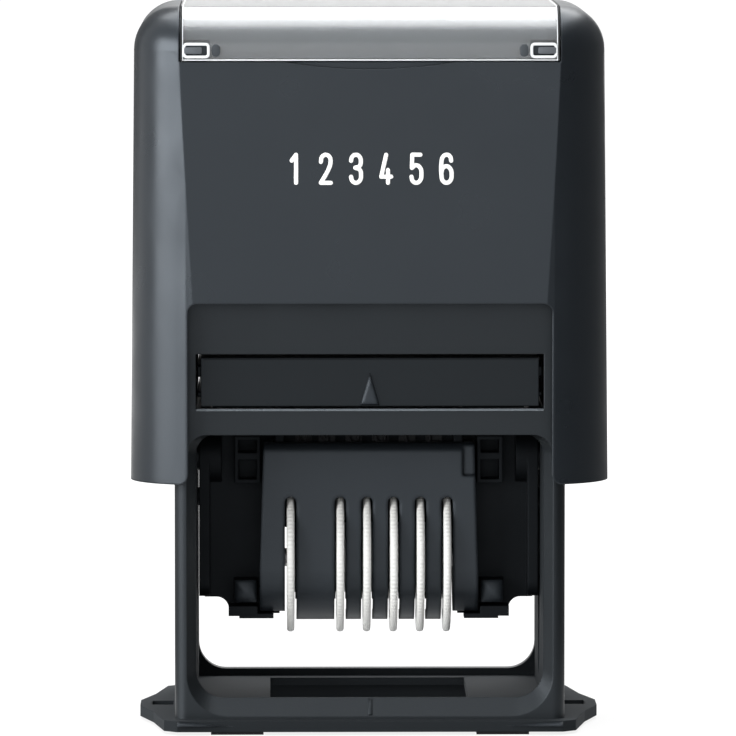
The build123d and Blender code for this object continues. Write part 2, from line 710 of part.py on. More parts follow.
flank_inner_x = cheek_outer_x + cover_flank_gap
with BuildPart() as wheel_cover:
    for inset, reach, fill in ((0, cover_foot_width / 2, Mode.ADD),
                               (cover_wall, flank_inner_x, Mode.SUBTRACT)):
        radius = cover_radius - inset
        top_y = cover_top_inset - radius
        tail_z = cover_wrap_z - sqrt(radius ** 2 - cover_tail ** 2)
        with BuildSketch(Plane.YZ):
            with BuildLine():
                ThreePointArc((cover_tail, tail_z),
                              (-radius * sqrt(0.5), cover_wrap_z - radius * sqrt(0.5)),
                              (-radius, cover_wrap_z))
                FilletPolyline((-radius, cover_wrap_z), (top_y, cover_top_z - inset),
                               (cover_tail, cover_top_z - inset),
                               radius=cover_top_corner - inset)
                Line((cover_tail, cover_top_z - inset), (cover_tail, tail_z))
            make_face()
        extrude(amount=reach, both=True, mode=fill)
    # Sides lean in towards the top
    with BuildSketch(Plane.XZ):
        with BuildLine():
            Polyline((-cover_foot_width / 2, 0), (cover_foot_width / 2, 0),
                     (cover_foot_width / 2, cover_wrap_z), (cover_top_width / 2, cover_top_z),
                     (-cover_top_width / 2, cover_top_z), (-cover_foot_width / 2, cover_wrap_z),
                     close=True)
        make_face()
    extrude(amount=cover_radius, both=True, mode=Mode.INTERSECT)
    # Key step in the face's upper right corner
    key_y = cover_radius - cover_top_inset - key_step_depth
    with BuildSketch(Plane.XZ.offset(key_y)):
        with Locations((cover_foot_width / 2 - key_step_width / 2,
                        cover_top_z - key_step_height / 2)):
            Rectangle(key_step_width + cover_foot_width - cover_top_width, key_step_height)
    extrude(amount=cover_radius, mode=Mode.SUBTRACT)
    # The top is open for the bands, but for a lip along the front
    lip_y = cover_top_inset - cover_radius + cover_lip
    with BuildSketch(Plane.XZ.offset(-lip_y)):
        with Locations((0, cover_top_z)):
            Rectangle(2 * flank_inner_x, 2 * cover_open_drop)
    extrude(amount=-cover_radius - cover_tail, mode=Mode.SUBTRACT)
    # The flanks stop at the web, and their feet are cut short beside the wheels
    foot_edge_x = wheel_end_x + cover_slot_width / 2
    with BuildSketch(Plane.XZ.offset(cover_flank_gap - web_front_y)):
        for side in (-1, 1):
            with Locations((side * (cheek_outer_x + cover_foot_width) / 2, axle_z / 2)):
                Rectangle(cover_foot_width - cheek_outer_x, 2 * axle_z)
    extrude(amount=-cover_radius, mode=Mode.SUBTRACT)
    with BuildSketch(Plane.XZ):
        for side in (-1, 1):
            with Locations((side * (foot_edge_x + cover_foot_width / 2), cover_side_bottom_z / 2)):
                Rectangle(cover_foot_width, cover_side_bottom_z)
    extrude(amount=cover_radius, both=True, mode=Mode.SUBTRACT)
    # One slot for each setting wheel
    slot_foot_z = wheel_z - wheel_radius
    slot_top_centre_z = cover_slot_top_z - cover_slot_width / 2
    with BuildSketch(Plane.XZ):
        for disc_x, side in wheel_positions():
            with Locations((disc_x, (slot_foot_z + slot_top_centre_z) / 2)):
                SlotCenterToCenter(slot_top_centre_z - slot_foot_z, cover_slot_width, rotation=90)
    extrude(amount=cover_radius, both=True, mode=Mode.SUBTRACT)

# ======================================================= wheels and bands
finished = [("base_frame", base_frame), ("foot_pads", foot_pads),
            ("pad_cassette", pad_cassette), ("ink_pad", ink_pad),
            ("cap_shell", cap_shell), ("index_window", index_window),
            ("index_card", index_card), ("turning_unit", turning_unit),
            ("setting_shaft", setting_shaft), ("band_platen", band_platen),
            ("wheel_cover", wheel_cover)]

rim_points = []
for tooth in range(2 * wheel_teeth):
    rim_radius = wheel_radius - (tooth % 2) * tooth_depth
    angle = pi * tooth / wheel_teeth
    rim_points.append((rim_radius * cos(angle), wheel_z + rim_radius * sin(angle)))

for number, (disc_x, side) in enumerate(wheel_positions(), start=1):
    with BuildPart() as setting_wheel:
        with BuildSketch(Plane.YZ.offset(disc_x - wheel_thickness / 2)):
            with BuildLine():
                Polyline(rim_points, close=True)
            make_face()
        extrude(amount=wheel_thickness)
        with BuildSketch(Plane.YZ.offset(drum_centre(disc_x, side) - drum_width / 2)):
            with Locations((0, wheel_z)):
                Circle(drum_radius)
        extrude(amount=drum_width)
        with BuildSketch(Plane.YZ):
            with Locations((0, wheel_z)):
                Circle(shaft_radius + shaft_gap)
        extrude(amount=unit_width / 2, both=True, mode=Mode.SUBTRACT)
    finished.append((f"setting_wheel_{number}", setting_wheel))

    with BuildPart() as number_band:
        with BuildSketch(Plane.YZ.offset(drum_centre(disc_x, side) - band_width / 2)):
            band_outline(band_thickness)
        extrude(amount=band_width)
        with BuildSketch(Plane.YZ.offset(drum_centre(disc_x, side) - band_width / 2)):
            band_outline(0)
        extrude(amount=band_width, mode=Mode.SUBTRACT)
    finished.append((f"number_band_{number}", number_band))

# ================================================================= spring
spring_height = cap_roof_z - deck_top_z - spring_wire
with BuildPart() as return_spring:
    with BuildLine(Plane.XY.offset(deck_top_z + spring_wire / 2)) as coil:
        Helix(spring_height / spring_turns, spring_height, spring_radius)
    with BuildSketch(Plane(origin=coil.line @ 0, z_dir=coil.line % 0)):
        RegularPolygon(spring_wire / 2, 4)
    sweep(is_frenet=True)
finished.append(("return_spring", return_spring))

for name, piece in finished:
    piece.part.label = name
    export_step(piece.part, f"parts/{name}.step")
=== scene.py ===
# %% [markdown]
# # A self-inking numbering stamp
# The solids come from the construction model, already in place and in metres. This lesson
# dresses them: it names the plastics, rubber and steel that each piece is made of, models
# what a mould or a printer adds, and sets up a small product studio.

# %% Load the construction model
from math import asin, atan2, cos, pi, radians, sin, sqrt

import bmesh
import bpy
from mathutils import Matrix, Vector


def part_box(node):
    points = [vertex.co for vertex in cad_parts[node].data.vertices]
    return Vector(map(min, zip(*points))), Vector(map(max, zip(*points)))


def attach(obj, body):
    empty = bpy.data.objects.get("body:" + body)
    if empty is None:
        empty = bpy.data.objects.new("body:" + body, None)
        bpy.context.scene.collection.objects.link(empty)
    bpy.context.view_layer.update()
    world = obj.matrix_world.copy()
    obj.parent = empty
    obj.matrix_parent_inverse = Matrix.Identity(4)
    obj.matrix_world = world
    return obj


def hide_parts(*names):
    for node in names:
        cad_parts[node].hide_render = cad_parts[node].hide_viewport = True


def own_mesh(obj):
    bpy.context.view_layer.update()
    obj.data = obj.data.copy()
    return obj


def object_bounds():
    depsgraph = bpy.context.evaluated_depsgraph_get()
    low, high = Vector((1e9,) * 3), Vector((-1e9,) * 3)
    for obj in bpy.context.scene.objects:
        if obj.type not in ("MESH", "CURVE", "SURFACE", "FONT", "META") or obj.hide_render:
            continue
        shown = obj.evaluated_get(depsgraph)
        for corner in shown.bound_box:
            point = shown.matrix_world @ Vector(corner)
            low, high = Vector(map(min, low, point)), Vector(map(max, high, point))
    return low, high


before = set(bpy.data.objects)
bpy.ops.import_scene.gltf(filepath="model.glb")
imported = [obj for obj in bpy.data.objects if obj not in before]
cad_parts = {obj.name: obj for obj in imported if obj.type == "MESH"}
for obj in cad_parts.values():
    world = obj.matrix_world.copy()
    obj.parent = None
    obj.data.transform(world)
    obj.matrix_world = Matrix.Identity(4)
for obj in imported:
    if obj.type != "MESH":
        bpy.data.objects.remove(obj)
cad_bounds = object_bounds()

MM = 0.001

# %% [markdown]
# ## Three helpers for materials
# Colours are picked as sRGB hex values, as a paint chart gives them, but the renderer adds
# up light, so it wants them linear. Nodes are added by one small function: it sets a node's
# own options, then gives each input either a value or a link from another node.

# %% Colour and node helpers
def linear(hex_colour):
    """An sRGB hex colour as linear RGBA."""
    channels = [int(hex_colour[i:i + 2], 16) / 255 for i in (1, 3, 5)]
    return [c / 12.92 if c <= 0.04045 else ((c + 0.055) / 1.055) ** 2.4 for c in channels] + [1.0]


def add_node(material, kind, inputs=None, **options):
    """Adds a node, with its options and its inputs, each a value or another node's output."""
    node = material.node_tree.nodes.new(kind)
    for option, value in options.items():
        setattr(node, option, value)
    for socket, value in (inputs or {}).items():
        if isinstance(value, bpy.types.NodeSocket):
            material.node_tree.links.new(value, node.inputs[socket])
        else:
            node.inputs[socket].default_value = value
    return node


def new_material(name, **sockets):
    """A Principled material with the given values on its own sockets, and its shader."""
    material = bpy.data.materials.new(name)
    material.use_nodes = True
    shader = material.node_tree.nodes["Principled BSDF"]
    for socket, value in sockets.items():
        shader.inputs[socket.replace("_", " ")].default_value = value
    return material, shader


print("middle grey #808080 is", round(linear("#808080")[0], 3), "linear")

# %% [markdown]
# ## Moulded finishes
# The frame, cap and number unit are injection-moulded ABS, coloured through with carbon
# black. ABS has an IOR of 1.54. Its gloss depends on the mould: the cap's was polished and
# lightly blasted, and the frame's was spark-eroded, which leaves a fine grain. Two noise
# patterns do this: a small one for the grain and a large one for the slight change of
# gloss where the melt cooled first. A Bevel node rounds the edges a little more, as no
# moulded edge is sharp and its thin highlight is what the eye looks for.

# %% A moulded finish
COOL_GLOSS = "#E9F4FF"                   # dark plastic mirrors a white room slightly blue
ABS_IOR = 1.54
COOLING_PATCH = 9 * MM                   # size of the patches that cooled together
GLOSS_CHANGE = 0.06                      # how far the roughness wanders between them
NOISE_LOW, NOISE_HIGH = 0.3, 0.7         # a noise pattern seldom leaves this range


def moulded_finish(name, colour, roughness, grain_mm, grain_depth_mm, edge_mm, specular=0.5):
    """A moulded surface. A real mould's grain is 0.02 to 0.05 mm, too fine to show, so
    grain_mm is 0.25 and more."""
    material, shader = new_material(name, Base_Color=linear(colour), IOR=ABS_IOR,
                                    Specular_IOR_Level=specular, Specular_Tint=linear(COOL_GLOSS))
    place = add_node(material, "ShaderNodeTexCoord").outputs["Object"]
    grain = add_node(material, "ShaderNodeTexNoise",
                     {"Vector": place, "Scale": 1 / (grain_mm * MM), "Detail": 2.0})
    cooling = add_node(material, "ShaderNodeTexNoise",
                       {"Vector": place, "Scale": 1 / COOLING_PATCH, "Detail": 3.0})
    gloss = add_node(material, "ShaderNodeMapRange",
                     {"Value": cooling.outputs["Fac"], "From Min": NOISE_LOW,
                      "From Max": NOISE_HIGH, "To Min": roughness - GLOSS_CHANGE,
                      "To Max": roughness + GLOSS_CHANGE})
    edge = add_node(material, "ShaderNodeBevel", {"Radius": edge_mm * MM}, samples=6)
    bump = add_node(material, "ShaderNodeBump",
                    {"Height": grain.outputs["Fac"], "Distance": grain_depth_mm * MM,
                     "Strength": 1.0, "Normal": edge.outputs["Normal"]})
    links = material.node_tree.links
    links.new(gloss.outputs["Result"], shader.inputs["Roughness"])
    links.new(bump.outputs["Normal"], shader.inputs["Normal"])
    return material


print("roughness wanders by", GLOSS_CHANGE, "over", round(COOLING_PATCH / MM), "mm")

# %% Plastics and rubber
# Satin: the lamps blur into soft bands down the cap's cheeks.
cap_abs = moulded_finish("black_abs_satin", "#12161A", 0.32, 0.25, 0.004, 0.30, specular=0.40)
# Spark-eroded: duller than the cap, its grain breaks the sheen up.
frame_abs = moulded_finish("black_abs_spark_eroded", "#101315", 0.42, 0.30, 0.010, 0.25,
                           specular=0.30)
# The number unit hardly shines at all: black on black in the bay.
unit_abs = moulded_finish("black_abs_number_unit", "#090B0D", 0.55, 0.28, 0.006, 0.30,
                          specular=0.13)
# Its cover is greyer, and its rounded slots catch the light.
cover_abs = moulded_finish("black_abs_cover", "#191D21", 0.40, 0.28, 0.006, 0.70, specular=0.36)
# The cassette is a shade darker than the frame round it.
cassette_abs = moulded_finish("black_abs_cassette", "#0D1012", 0.40, 0.28, 0.006, 0.20,
                              specular=0.22)
# Acetal is waxy, dense white and evenly glossy.
wheel_acetal = moulded_finish("white_acetal", "#E9E9E6", 0.32, 0.25, 0.001, 0.05)
# Nitrile rubber is dull, and a little grey where it is handled.
rubber = moulded_finish("nitrile_rubber", "#1E1D1D", 0.72, 0.35, 0.012, 0.12, specular=0.2)
print("moulded:", [material.name for material in
                   (cap_abs, frame_abs, unit_abs, cover_abs, cassette_abs, wheel_acetal, rubber)])

# %% [markdown]
# ## The frame's inner side
# A mould's core is left rough so that the moulding lets go of its cavity, not of its core.
# The frame's inner walls and floor came off the core and look duller than its outside, and
# so does the flange, where the mould parts. One material can hold both: a mask worked out
# from the Object coordinates tells inside from outside, and raises the roughness there.

# %% Roughen the core side
CORE_HALF_SIZE = {"X": 22.6 * MM, "Y": 15.8 * MM, "Z": 38.9 * MM}
FLANGE_SIDE_TOP = 1.9 * MM
CORE_ROUGHNESS = 0.85


def roughen_core_side(material):
    """Raises the roughness of the frame's inner walls, floor and flange."""
    place = add_node(material, "ShaderNodeTexCoord").outputs["Object"]
    size = add_node(material, "ShaderNodeVectorMath", {0: place}, operation="ABSOLUTE")
    axes = add_node(material, "ShaderNodeSeparateXYZ", {"Vector": size.outputs["Vector"]}).outputs
    mask = None
    for axis, limit in CORE_HALF_SIZE.items():
        inside = add_node(material, "ShaderNodeMath", {0: axes[axis], 1: limit},
                          operation="LESS_THAN").outputs[0]
        mask = inside if mask is None else add_node(
            material, "ShaderNodeMath", {0: mask, 1: inside}, operation="MULTIPLY").outputs[0]
    flange = add_node(material, "ShaderNodeMath", {0: axes["Z"], 1: FLANGE_SIDE_TOP},
                      operation="LESS_THAN").outputs[0]
    rough_side = add_node(material, "ShaderNodeMath", {0: mask, 1: flange}, operation="MAXIMUM")
    shader = material.node_tree.nodes["Principled BSDF"]
    gloss = shader.inputs["Roughness"].links[0].from_socket
    raised = add_node(material, "ShaderNodeMath", {0: gloss, 1: CORE_ROUGHNESS},
                      operation="MAXIMUM")
    mix = add_node(material, "ShaderNodeMix", {0: rough_side.outputs[0], 2: gloss,
                                               3: raised.outputs[0]})
    material.node_tree.links.new(mix.outputs[0], shader.inputs["Roughness"])


roughen_core_side(frame_abs)
print(frame_abs.name, "now has", len(frame_abs.node_tree.nodes), "nodes")

# %% [markdown]
# ## Window and card
# The index window is clear polystyrene, IOR 1.59, polished but hazed a little by handling.
# Under it lies a card with a silver-grey print. The paper's fibres clump to spots of less
# than a millimetre, which only just change its tone.

# %% Window and card
CARD_FIBRE = 0.8 * MM

# Clear: the card shows through, and the lamps draw wide soft bands on it.
window_ps = new_material("clear_polystyrene", Base_Color=linear("#F2F5F7"), IOR=1.59,
                         Roughness=0.2, Specular_IOR_Level=0.9, Transmission_Weight=1.0)[0]

# Silver-grey print, half matt, a little uneven.
card_paper, card_shader = new_material("printed_card", Roughness=0.55, IOR=1.5)
fibres = add_node(card_paper, "ShaderNodeTexNoise",
                  {"Vector": add_node(card_paper, "ShaderNodeTexCoord").outputs["Object"],
                   "Scale": 1 / CARD_FIBRE, "Detail": 4.0})
card_colour = add_node(card_paper, "ShaderNodeMixRGB",
                       {"Fac": fibres.outputs["Fac"], "Color1": linear("#575A5D"),
                        "Color2": linear("#63666A")})
card_paper.node_tree.links.new(card_colour.outputs["Color"], card_shader.inputs["Base Color"])
print("window and card:", window_ps.name, card_paper.name)

# %% [markdown]
# ## Felt and steel
# The ink pad is felt soaked in black ink: no gloss, a little sheen from its fibres, and a
# bump that tangles them. Shaft and spring are drawn steel wire, bright, with a gloss that
# changes every few tenths of a millimetre where the drawing die marked it.

# %% Felt and steel
FELT_FIBRE, FELT_DEPTH = 0.5 * MM, 0.06 * MM
DIE_MARK = 0.3 * MM

# Inked felt swallows the light.
ink_felt, felt_shader = new_material("inked_felt", Base_Color=linear("#17181C"),
                                     Roughness=0.85, Sheen_Weight=0.25)
felt_fibres = add_node(ink_felt, "ShaderNodeTexNoise",
                       {"Vector": add_node(ink_felt, "ShaderNodeTexCoord").outputs["Object"],
                        "Scale": 1 / FELT_FIBRE, "Detail": 6.0, "Distortion": 1.5})
felt_bump = add_node(ink_felt, "ShaderNodeBump",
                     {"Height": felt_fibres.outputs["Fac"], "Distance": FELT_DEPTH})
ink_felt.node_tree.links.new(felt_bump.outputs["Normal"], felt_shader.inputs["Normal"])

# Drawn steel: bright, its highlights broken up by die marks.
steel, steel_shader = new_material("drawn_steel", Base_Color=linear("#B9BABC"), Metallic=1.0)
die_marks = add_node(steel, "ShaderNodeTexNoise",
                     {"Vector": add_node(steel, "ShaderNodeTexCoord").outputs["Object"],
                      "Scale": 1 / DIE_MARK})
steel_gloss = add_node(steel, "ShaderNodeMapRange",
                       {"Value": die_marks.outputs["Fac"], "To Min": 0.22, "To Max": 0.38})
steel.node_tree.links.new(steel_gloss.outputs["Result"], steel_shader.inputs["Roughness"])
print("felt and steel:", ink_felt.name, steel.name)

# %% [markdown]
# ## Dress the solids
# A construction solid whose shape is right keeps its mesh and gets a material in its slots.
# Only the wheels and the spring are missing here: they are modelled anew further down.

# %% Give each node its material
def dress(material, *nodes):
    """Puts the material in every slot of the nodes."""
    for node in nodes:
        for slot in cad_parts[node].material_slots:
            slot.material = material
    print(material.name, "on", ", ".join(nodes))


NUMBERS = range(1, 7)
dress(frame_abs, "base_frame")
dress(cap_abs, "cap_shell")
dress(unit_abs, "turning_unit", "band_platen")
dress(cover_abs, "wheel_cover")
dress(cassette_abs, "pad_cassette")
dress(rubber, "foot_pads", *[f"number_band_{n}" for n in NUMBERS])
dress(window_ps, "index_window")
dress(card_paper, "index_card")
dress(ink_felt, "ink_pad")
dress(steel, "setting_shaft")

# %% [markdown]
# ## From a bmesh to a piece
# Most new pieces are several small shapes, such as six digits. Each is put in its place and
# gathered into one mesh, and the finished mesh becomes a piece: smooth, but sharp past a
# crease angle, and riding on the body that carries it.

# %% Gather and finish
CREASE, FACETS = radians(40), radians(15)     # rounded pieces stay smooth, faceted ones flat


def gather(target, shape, matrix=Matrix.Identity(4)):
    """Adds a shape to a growing mesh, put in its place."""
    bmesh.ops.transform(shape, matrix=matrix, verts=shape.verts)
    step = bpy.data.meshes.new("step")
    shape.to_mesh(step)
    target.from_mesh(step)
    shape.free()


def finish_piece(name, shape, body, material, crease=CREASE):
    """Turns a finished bmesh into a smooth piece, sharp past the crease angle, on a body."""
    mesh = bpy.data.meshes.new(name)
    for face in shape.faces:
        face.smooth = True
    shape.to_mesh(mesh)
    shape.free()
    mesh.set_sharp_from_angle(angle=crease)
    mesh.materials.append(material)
    piece = bpy.data.objects.new(name, mesh)
    bpy.context.scene.collection.objects.link(piece)
    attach(piece, body)
    print(name, "faces", len(mesh.polygons))
    return piece


print("creases from", round(CREASE / radians(1)), "degrees, facets from",
      round(FACETS / radians(1)))

# %% [markdown]
# ## Digits
# The same narrow digits are printed on the cap and stand out of the bands. Each is a few
# strokes of even width with round ends, so a bevelled curve draws them: a smooth spline
# for each stroke, a ball at each open end, and then the tube is flattened to the thickness
# of ink or type.

# %% Strokes of the digits, in a box one wide and 2.3 high
BOX_HEIGHT = 2.3
STROKES = {
    "0": [[(0.5, 2.3), (0.12, 2.08), (0, 1.6), (0, 0.7), (0.12, 0.22), (0.5, 0), (0.88, 0.22),
           (1, 0.7), (1, 1.6), (0.88, 2.08), (0.5, 2.3)]],
    "1": [[(0.12, 1.82), (0.55, 2.3)], [(0.55, 2.3), (0.55, 0)]],
    "2": [[(0.02, 1.72), (0.14, 2.14), (0.5, 2.3), (0.86, 2.14), (0.98, 1.72), (0.84, 1.25),
           (0.02, 0)], [(0.02, 0), (1, 0)]],
    "3": [[(0.02, 1.80), (0.14, 2.14), (0.5, 2.3), (0.86, 2.14), (0.98, 1.74), (0.84, 1.36),
           (0.42, 1.24)],
          [(0.42, 1.24), (0.86, 1.08), (1, 0.62), (0.86, 0.16), (0.5, 0), (0.14, 0.16),
           (0.02, 0.5)]],
    "4": [[(0.5, 2.3), (0.02, 0.5)], [(0.02, 0.5), (1, 0.5)], [(0.68, 1.05), (0.68, 0)]],
    "5": [[(0.9, 2.3), (0.1, 2.3)], [(0.1, 2.3), (0.06, 1.22)],
          [(0.06, 1.22), (0.46, 1.44), (0.86, 1.25), (1, 0.74), (0.86, 0.18), (0.5, 0),
           (0.14, 0.16), (0.02, 0.5)]],
    "6": [[(0.96, 1.8), (0.84, 2.16), (0.5, 2.3), (0.14, 2.12), (0, 1.6), (0, 0.66),
           (0.14, 0.16), (0.5, 0), (0.86, 0.16), (1, 0.64), (0.86, 1.16), (0.5, 1.36),
           (0.14, 1.2), (0, 0.8)]],
    "7": [[(0.02, 2.3), (0.98, 2.3)], [(0.98, 2.3), (0.36, 0)]],
    "8": [[(0.5, 1.24), (0.14, 1.42), (0.06, 1.78), (0.18, 2.16), (0.5, 2.3), (0.82, 2.16),
           (0.94, 1.78), (0.86, 1.42), (0.5, 1.24), (0.14, 1.06), (0, 0.62), (0.14, 0.16),
           (0.5, 0), (0.86, 0.16), (1, 0.62), (0.86, 1.06), (0.5, 1.24)]],
    "9": [[(0.04, 0.5), (0.16, 0.14), (0.5, 0), (0.86, 0.18), (1, 0.7), (1, 1.64),
           (0.86, 2.14), (0.5, 2.3), (0.14, 2.14), (0, 1.66), (0.14, 1.14), (0.5, 0.94),
           (0.86, 1.1), (1, 1.5)]],
}
print("strokes:", {digit: len(strokes) for digit, strokes in STROKES.items()})


# %% Draw a digit
TUBE_ROUNDING, STEPS_PER_KNOT = 2, 5
BALL_SEGMENTS, BALL_RINGS = 10, 6


def stroke_curve(digit, height, width, stroke):
    """A bevelled curve of the digit's strokes, and the places of their open ends."""
    curve = bpy.data.curves.new("stroke", "CURVE")
    curve.dimensions = "3D"
    curve.bevel_depth = stroke / 2
    curve.bevel_resolution = TUBE_ROUNDING
    curve.resolution_u = STEPS_PER_KNOT
    curve.use_fill_caps = True
    across, up = width - stroke, (height - stroke) / BOX_HEIGHT
    ends = []
    for points in STROKES[digit]:
        spline = curve.splines.new("BEZIER")
        spline.use_cyclic_u = points[0] == points[-1]
        spline.bezier_points.add(len(points) - (2 if spline.use_cyclic_u else 1))
        handle = "AUTO" if len(points) > 2 else "VECTOR"
        for knot, (x, y) in zip(spline.bezier_points, points):
            knot.co = ((x - 0.5) * across, (y - BOX_HEIGHT / 2) * up, 0)
            knot.handle_left_type = knot.handle_right_type = handle
        for knot in (spline.bezier_points[0], spline.bezier_points[-1]):
            if not spline.use_cyclic_u and knot.co not in ends:
                ends.append(knot.co.copy())
    return curve, ends


def digit_mesh(digit, height, width, stroke, thickness):
    """A digit centred on the origin, flat in XY, with its strokes thickness deep."""
    curve, ends = stroke_curve(digit, height, width, stroke)
    holder = bpy.data.objects.new("stroke", curve)
    bpy.context.scene.collection.objects.link(holder)
    view = bpy.context.evaluated_depsgraph_get()
    mesh = bpy.data.meshes.new_from_object(holder.evaluated_get(view))
    bpy.data.objects.remove(holder)
    shape = bmesh.new()
    shape.from_mesh(mesh)
    for end in ends:
        bmesh.ops.create_uvsphere(shape, u_segments=BALL_SEGMENTS, v_segments=BALL_RINGS,
                                  radius=stroke / 2, matrix=Matrix.Translation(end))
    bmesh.ops.scale(shape, verts=shape.verts, vec=(1, 1, thickness / stroke))
    shape.normal_update()
    bmesh.ops.recalc_face_normals(shape, faces=shape.faces)
    return shape


print("each open end gets a ball of", BALL_SEGMENTS * BALL_RINGS, "faces")

# %% [markdown]
# ## Printed row on the cap
# A stamp of this kind shows the size of its type as a sample row, pad-printed in white on
# the cap's front. The ink lies on the sloping panel, so the row leans back with it.

# %% Lay shapes on the sloping panel
PANEL_FOOT_Y, PANEL_FOOT_Z = -20.7 * MM, 32.6 * MM
PANEL_RISE, PANEL_SETBACK = 61.6 * MM, 1.55 * MM      # it leans back this much over its height
LEAN = atan2(PANEL_SETBACK, PANEL_RISE)


def on_panel(x, z):
    """Matrix that lays a flat shape on the cap's front panel."""
    y = PANEL_FOOT_Y + (z - PANEL_FOOT_Z) * PANEL_SETBACK / PANEL_RISE
    return Matrix.Translation((x, y, z)) @ Matrix.Rotation(pi / 2 - LEAN, 4, "X")


print("the panel leans back", round(LEAN / radians(1), 2), "degrees")

# %% Print the sample row
PRINT_HEIGHT, PRINT_WIDTH, PRINT_STROKE = 4.15 * MM, 1.85 * MM, 0.54 * MM
PRINT_PITCH, PRINT_CENTRE, PRINT_Z = 3.885 * MM, 0.12 * MM, 73.4 * MM
INK_THICKNESS = 0.06 * MM
SAMPLE = "123456"

# Opaque white ink, dull beside the glossy panel.
print_ink = moulded_finish("white_pad_print", "#F4F4F2", 0.5, 0.3, 0.002, 0.02)
row = bmesh.new()
for place, digit in enumerate(SAMPLE):
    x = PRINT_CENTRE + (place - (len(SAMPLE) - 1) / 2) * PRINT_PITCH
    gather(row, digit_mesh(digit, PRINT_HEIGHT, PRINT_WIDTH, PRINT_STROKE, INK_THICKNESS),
           on_panel(x, PRINT_Z))
finish_piece("cap_numerals", row, "cap", print_ink)

# %% [markdown]
# ## Edges of the window
# Clear polystyrene leads light along inside itself and lets it out at its edges, which
# therefore look frosted and bright. That light is painted here: the window has such an edge
# along its foot, and a rim round each of the four catches that hold it to the cap, drawn as
# pale opaque pieces, a painted highlight on top of the frosted edge's own paleness. A thin
# plate with rounded corners does for all of these: a grid of one face gets its corners
# bevelled, an inset turns it into a ring where a hole is wanted, and solidify gives it its
# thickness.

# %% Rounded plates and rings
BROKEN_EDGE = 0.12                       # bevel of a plate's edges, as a share of its thickness
BROKEN_FROM = radians(60)                # edges that turn more than this are broken


def rounded_plate(width, height, thickness, corner, rim=0.0):
    """A plate in XY, centred, up to z = thickness, or a ring of the given rim; edges broken."""
    shape = bmesh.new()
    bmesh.ops.create_grid(shape, x_segments=1, y_segments=1, size=0.5)
    bmesh.ops.scale(shape, verts=shape.verts, vec=(width, height, 1))
    bmesh.ops.bevel(shape, geom=shape.verts[:], offset=corner, segments=4, profile=0.5,
                    affect="VERTICES", material=-1)
    if rim:
        middle = shape.faces[:]
        bmesh.ops.inset_region(shape, faces=middle, thickness=rim, use_boundary=True,
                               use_even_offset=True)
        bmesh.ops.delete(shape, geom=middle, context="FACES")
    bmesh.ops.solidify(shape, geom=shape.faces[:], thickness=thickness)
    lowest = min(vert.co.z for vert in shape.verts)
    bmesh.ops.translate(shape, verts=shape.verts, vec=(0, 0, -lowest))
    bmesh.ops.recalc_face_normals(shape, faces=shape.faces)
    sharp = [edge for edge in shape.edges if edge.calc_face_angle(0) > BROKEN_FROM]
    bmesh.ops.bevel(shape, geom=sharp, offset=BROKEN_EDGE * thickness, segments=2, profile=0.5,
                    affect="EDGES", material=-1)
    return shape


print("a plate keeps", round(100 * (1 - 2 * BROKEN_EDGE)), "% of its side between broken edges")

# %% Foot lines and catch rings
window_low, window_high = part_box("index_window")
FOOT_LINE, LINE_PROUD, LINE_CORNER, LINE_END = 0.16 * MM, 0.10 * MM, 0.04 * MM, 0.25 * MM
CATCH_WIDTH, CATCH_HEIGHT, CATCH_RIM = 3.5 * MM, 2.0 * MM, 0.36 * MM
CATCH_PROUD, CATCH_CORNER, CATCH_MARGIN = 0.34 * MM, 0.55 * MM, 0.3 * MM
CATCH_X = window_high.x - CATCH_MARGIN - CATCH_WIDTH / 2
CATCH_Z = window_low.z + CATCH_MARGIN + CATCH_HEIGHT / 2
BOTH_SIDES = [Matrix.Rotation(turned, 4, "Z") for turned in (0, pi)]      # front and back

# A frosted edge is pale, and the light it lets out is painted into that pale colour: a painted
# highlight, even, without the window's shine.
edge_highlight_ps = moulded_finish("polystyrene_edge_painted_highlight", "#DADDDF", 0.45, 0.25, 0.002, 0.05)
edge_highlights = bmesh.new()
for side_of_cap in BOTH_SIDES:
    gather(edge_highlights, rounded_plate(2 * (window_high.x - LINE_END), FOOT_LINE, LINE_PROUD,
                                  LINE_CORNER),
           side_of_cap @ on_panel(0, window_low.z + FOOT_LINE / 2))
    for side in (-1, 1):
        gather(edge_highlights, rounded_plate(CATCH_WIDTH, CATCH_HEIGHT, CATCH_PROUD, CATCH_CORNER,
                                      CATCH_RIM),
               side_of_cap @ on_panel(side * CATCH_X, CATCH_Z))
finish_piece("window_edge_highlights", edge_highlights, "cap", edge_highlight_ps)

# %% [markdown]
# ## Ends of the window
# At each end the window meets the cap in a thin gap, whose shade is painted as a dark strip,
# and beside it runs the window's own bright edge, a painted highlight. Both go up the front,
# over the head and down the back. A small open rectangle is drawn along that way: its edges
# are extruded where the way is straight and spun where it turns, and the two open ends are
# filled last, so that no face stays inside.

# %% Strips over the head
STRIP_DEPTH = 0.2 * MM
CROWN, CROWN_STEPS = 5.7 * MM, 10        # radius of the two turns over the head


def new_end(geometry):
    """The end ring of a tube that was just drawn longer: its vertices and edges, each once."""
    verts = [item for item in geometry if isinstance(item, bmesh.types.BMVert)]
    edges = [edge for vert in verts for edge in vert.link_edges if set(edge.verts) <= set(verts)]
    return verts, list(dict.fromkeys(edges))


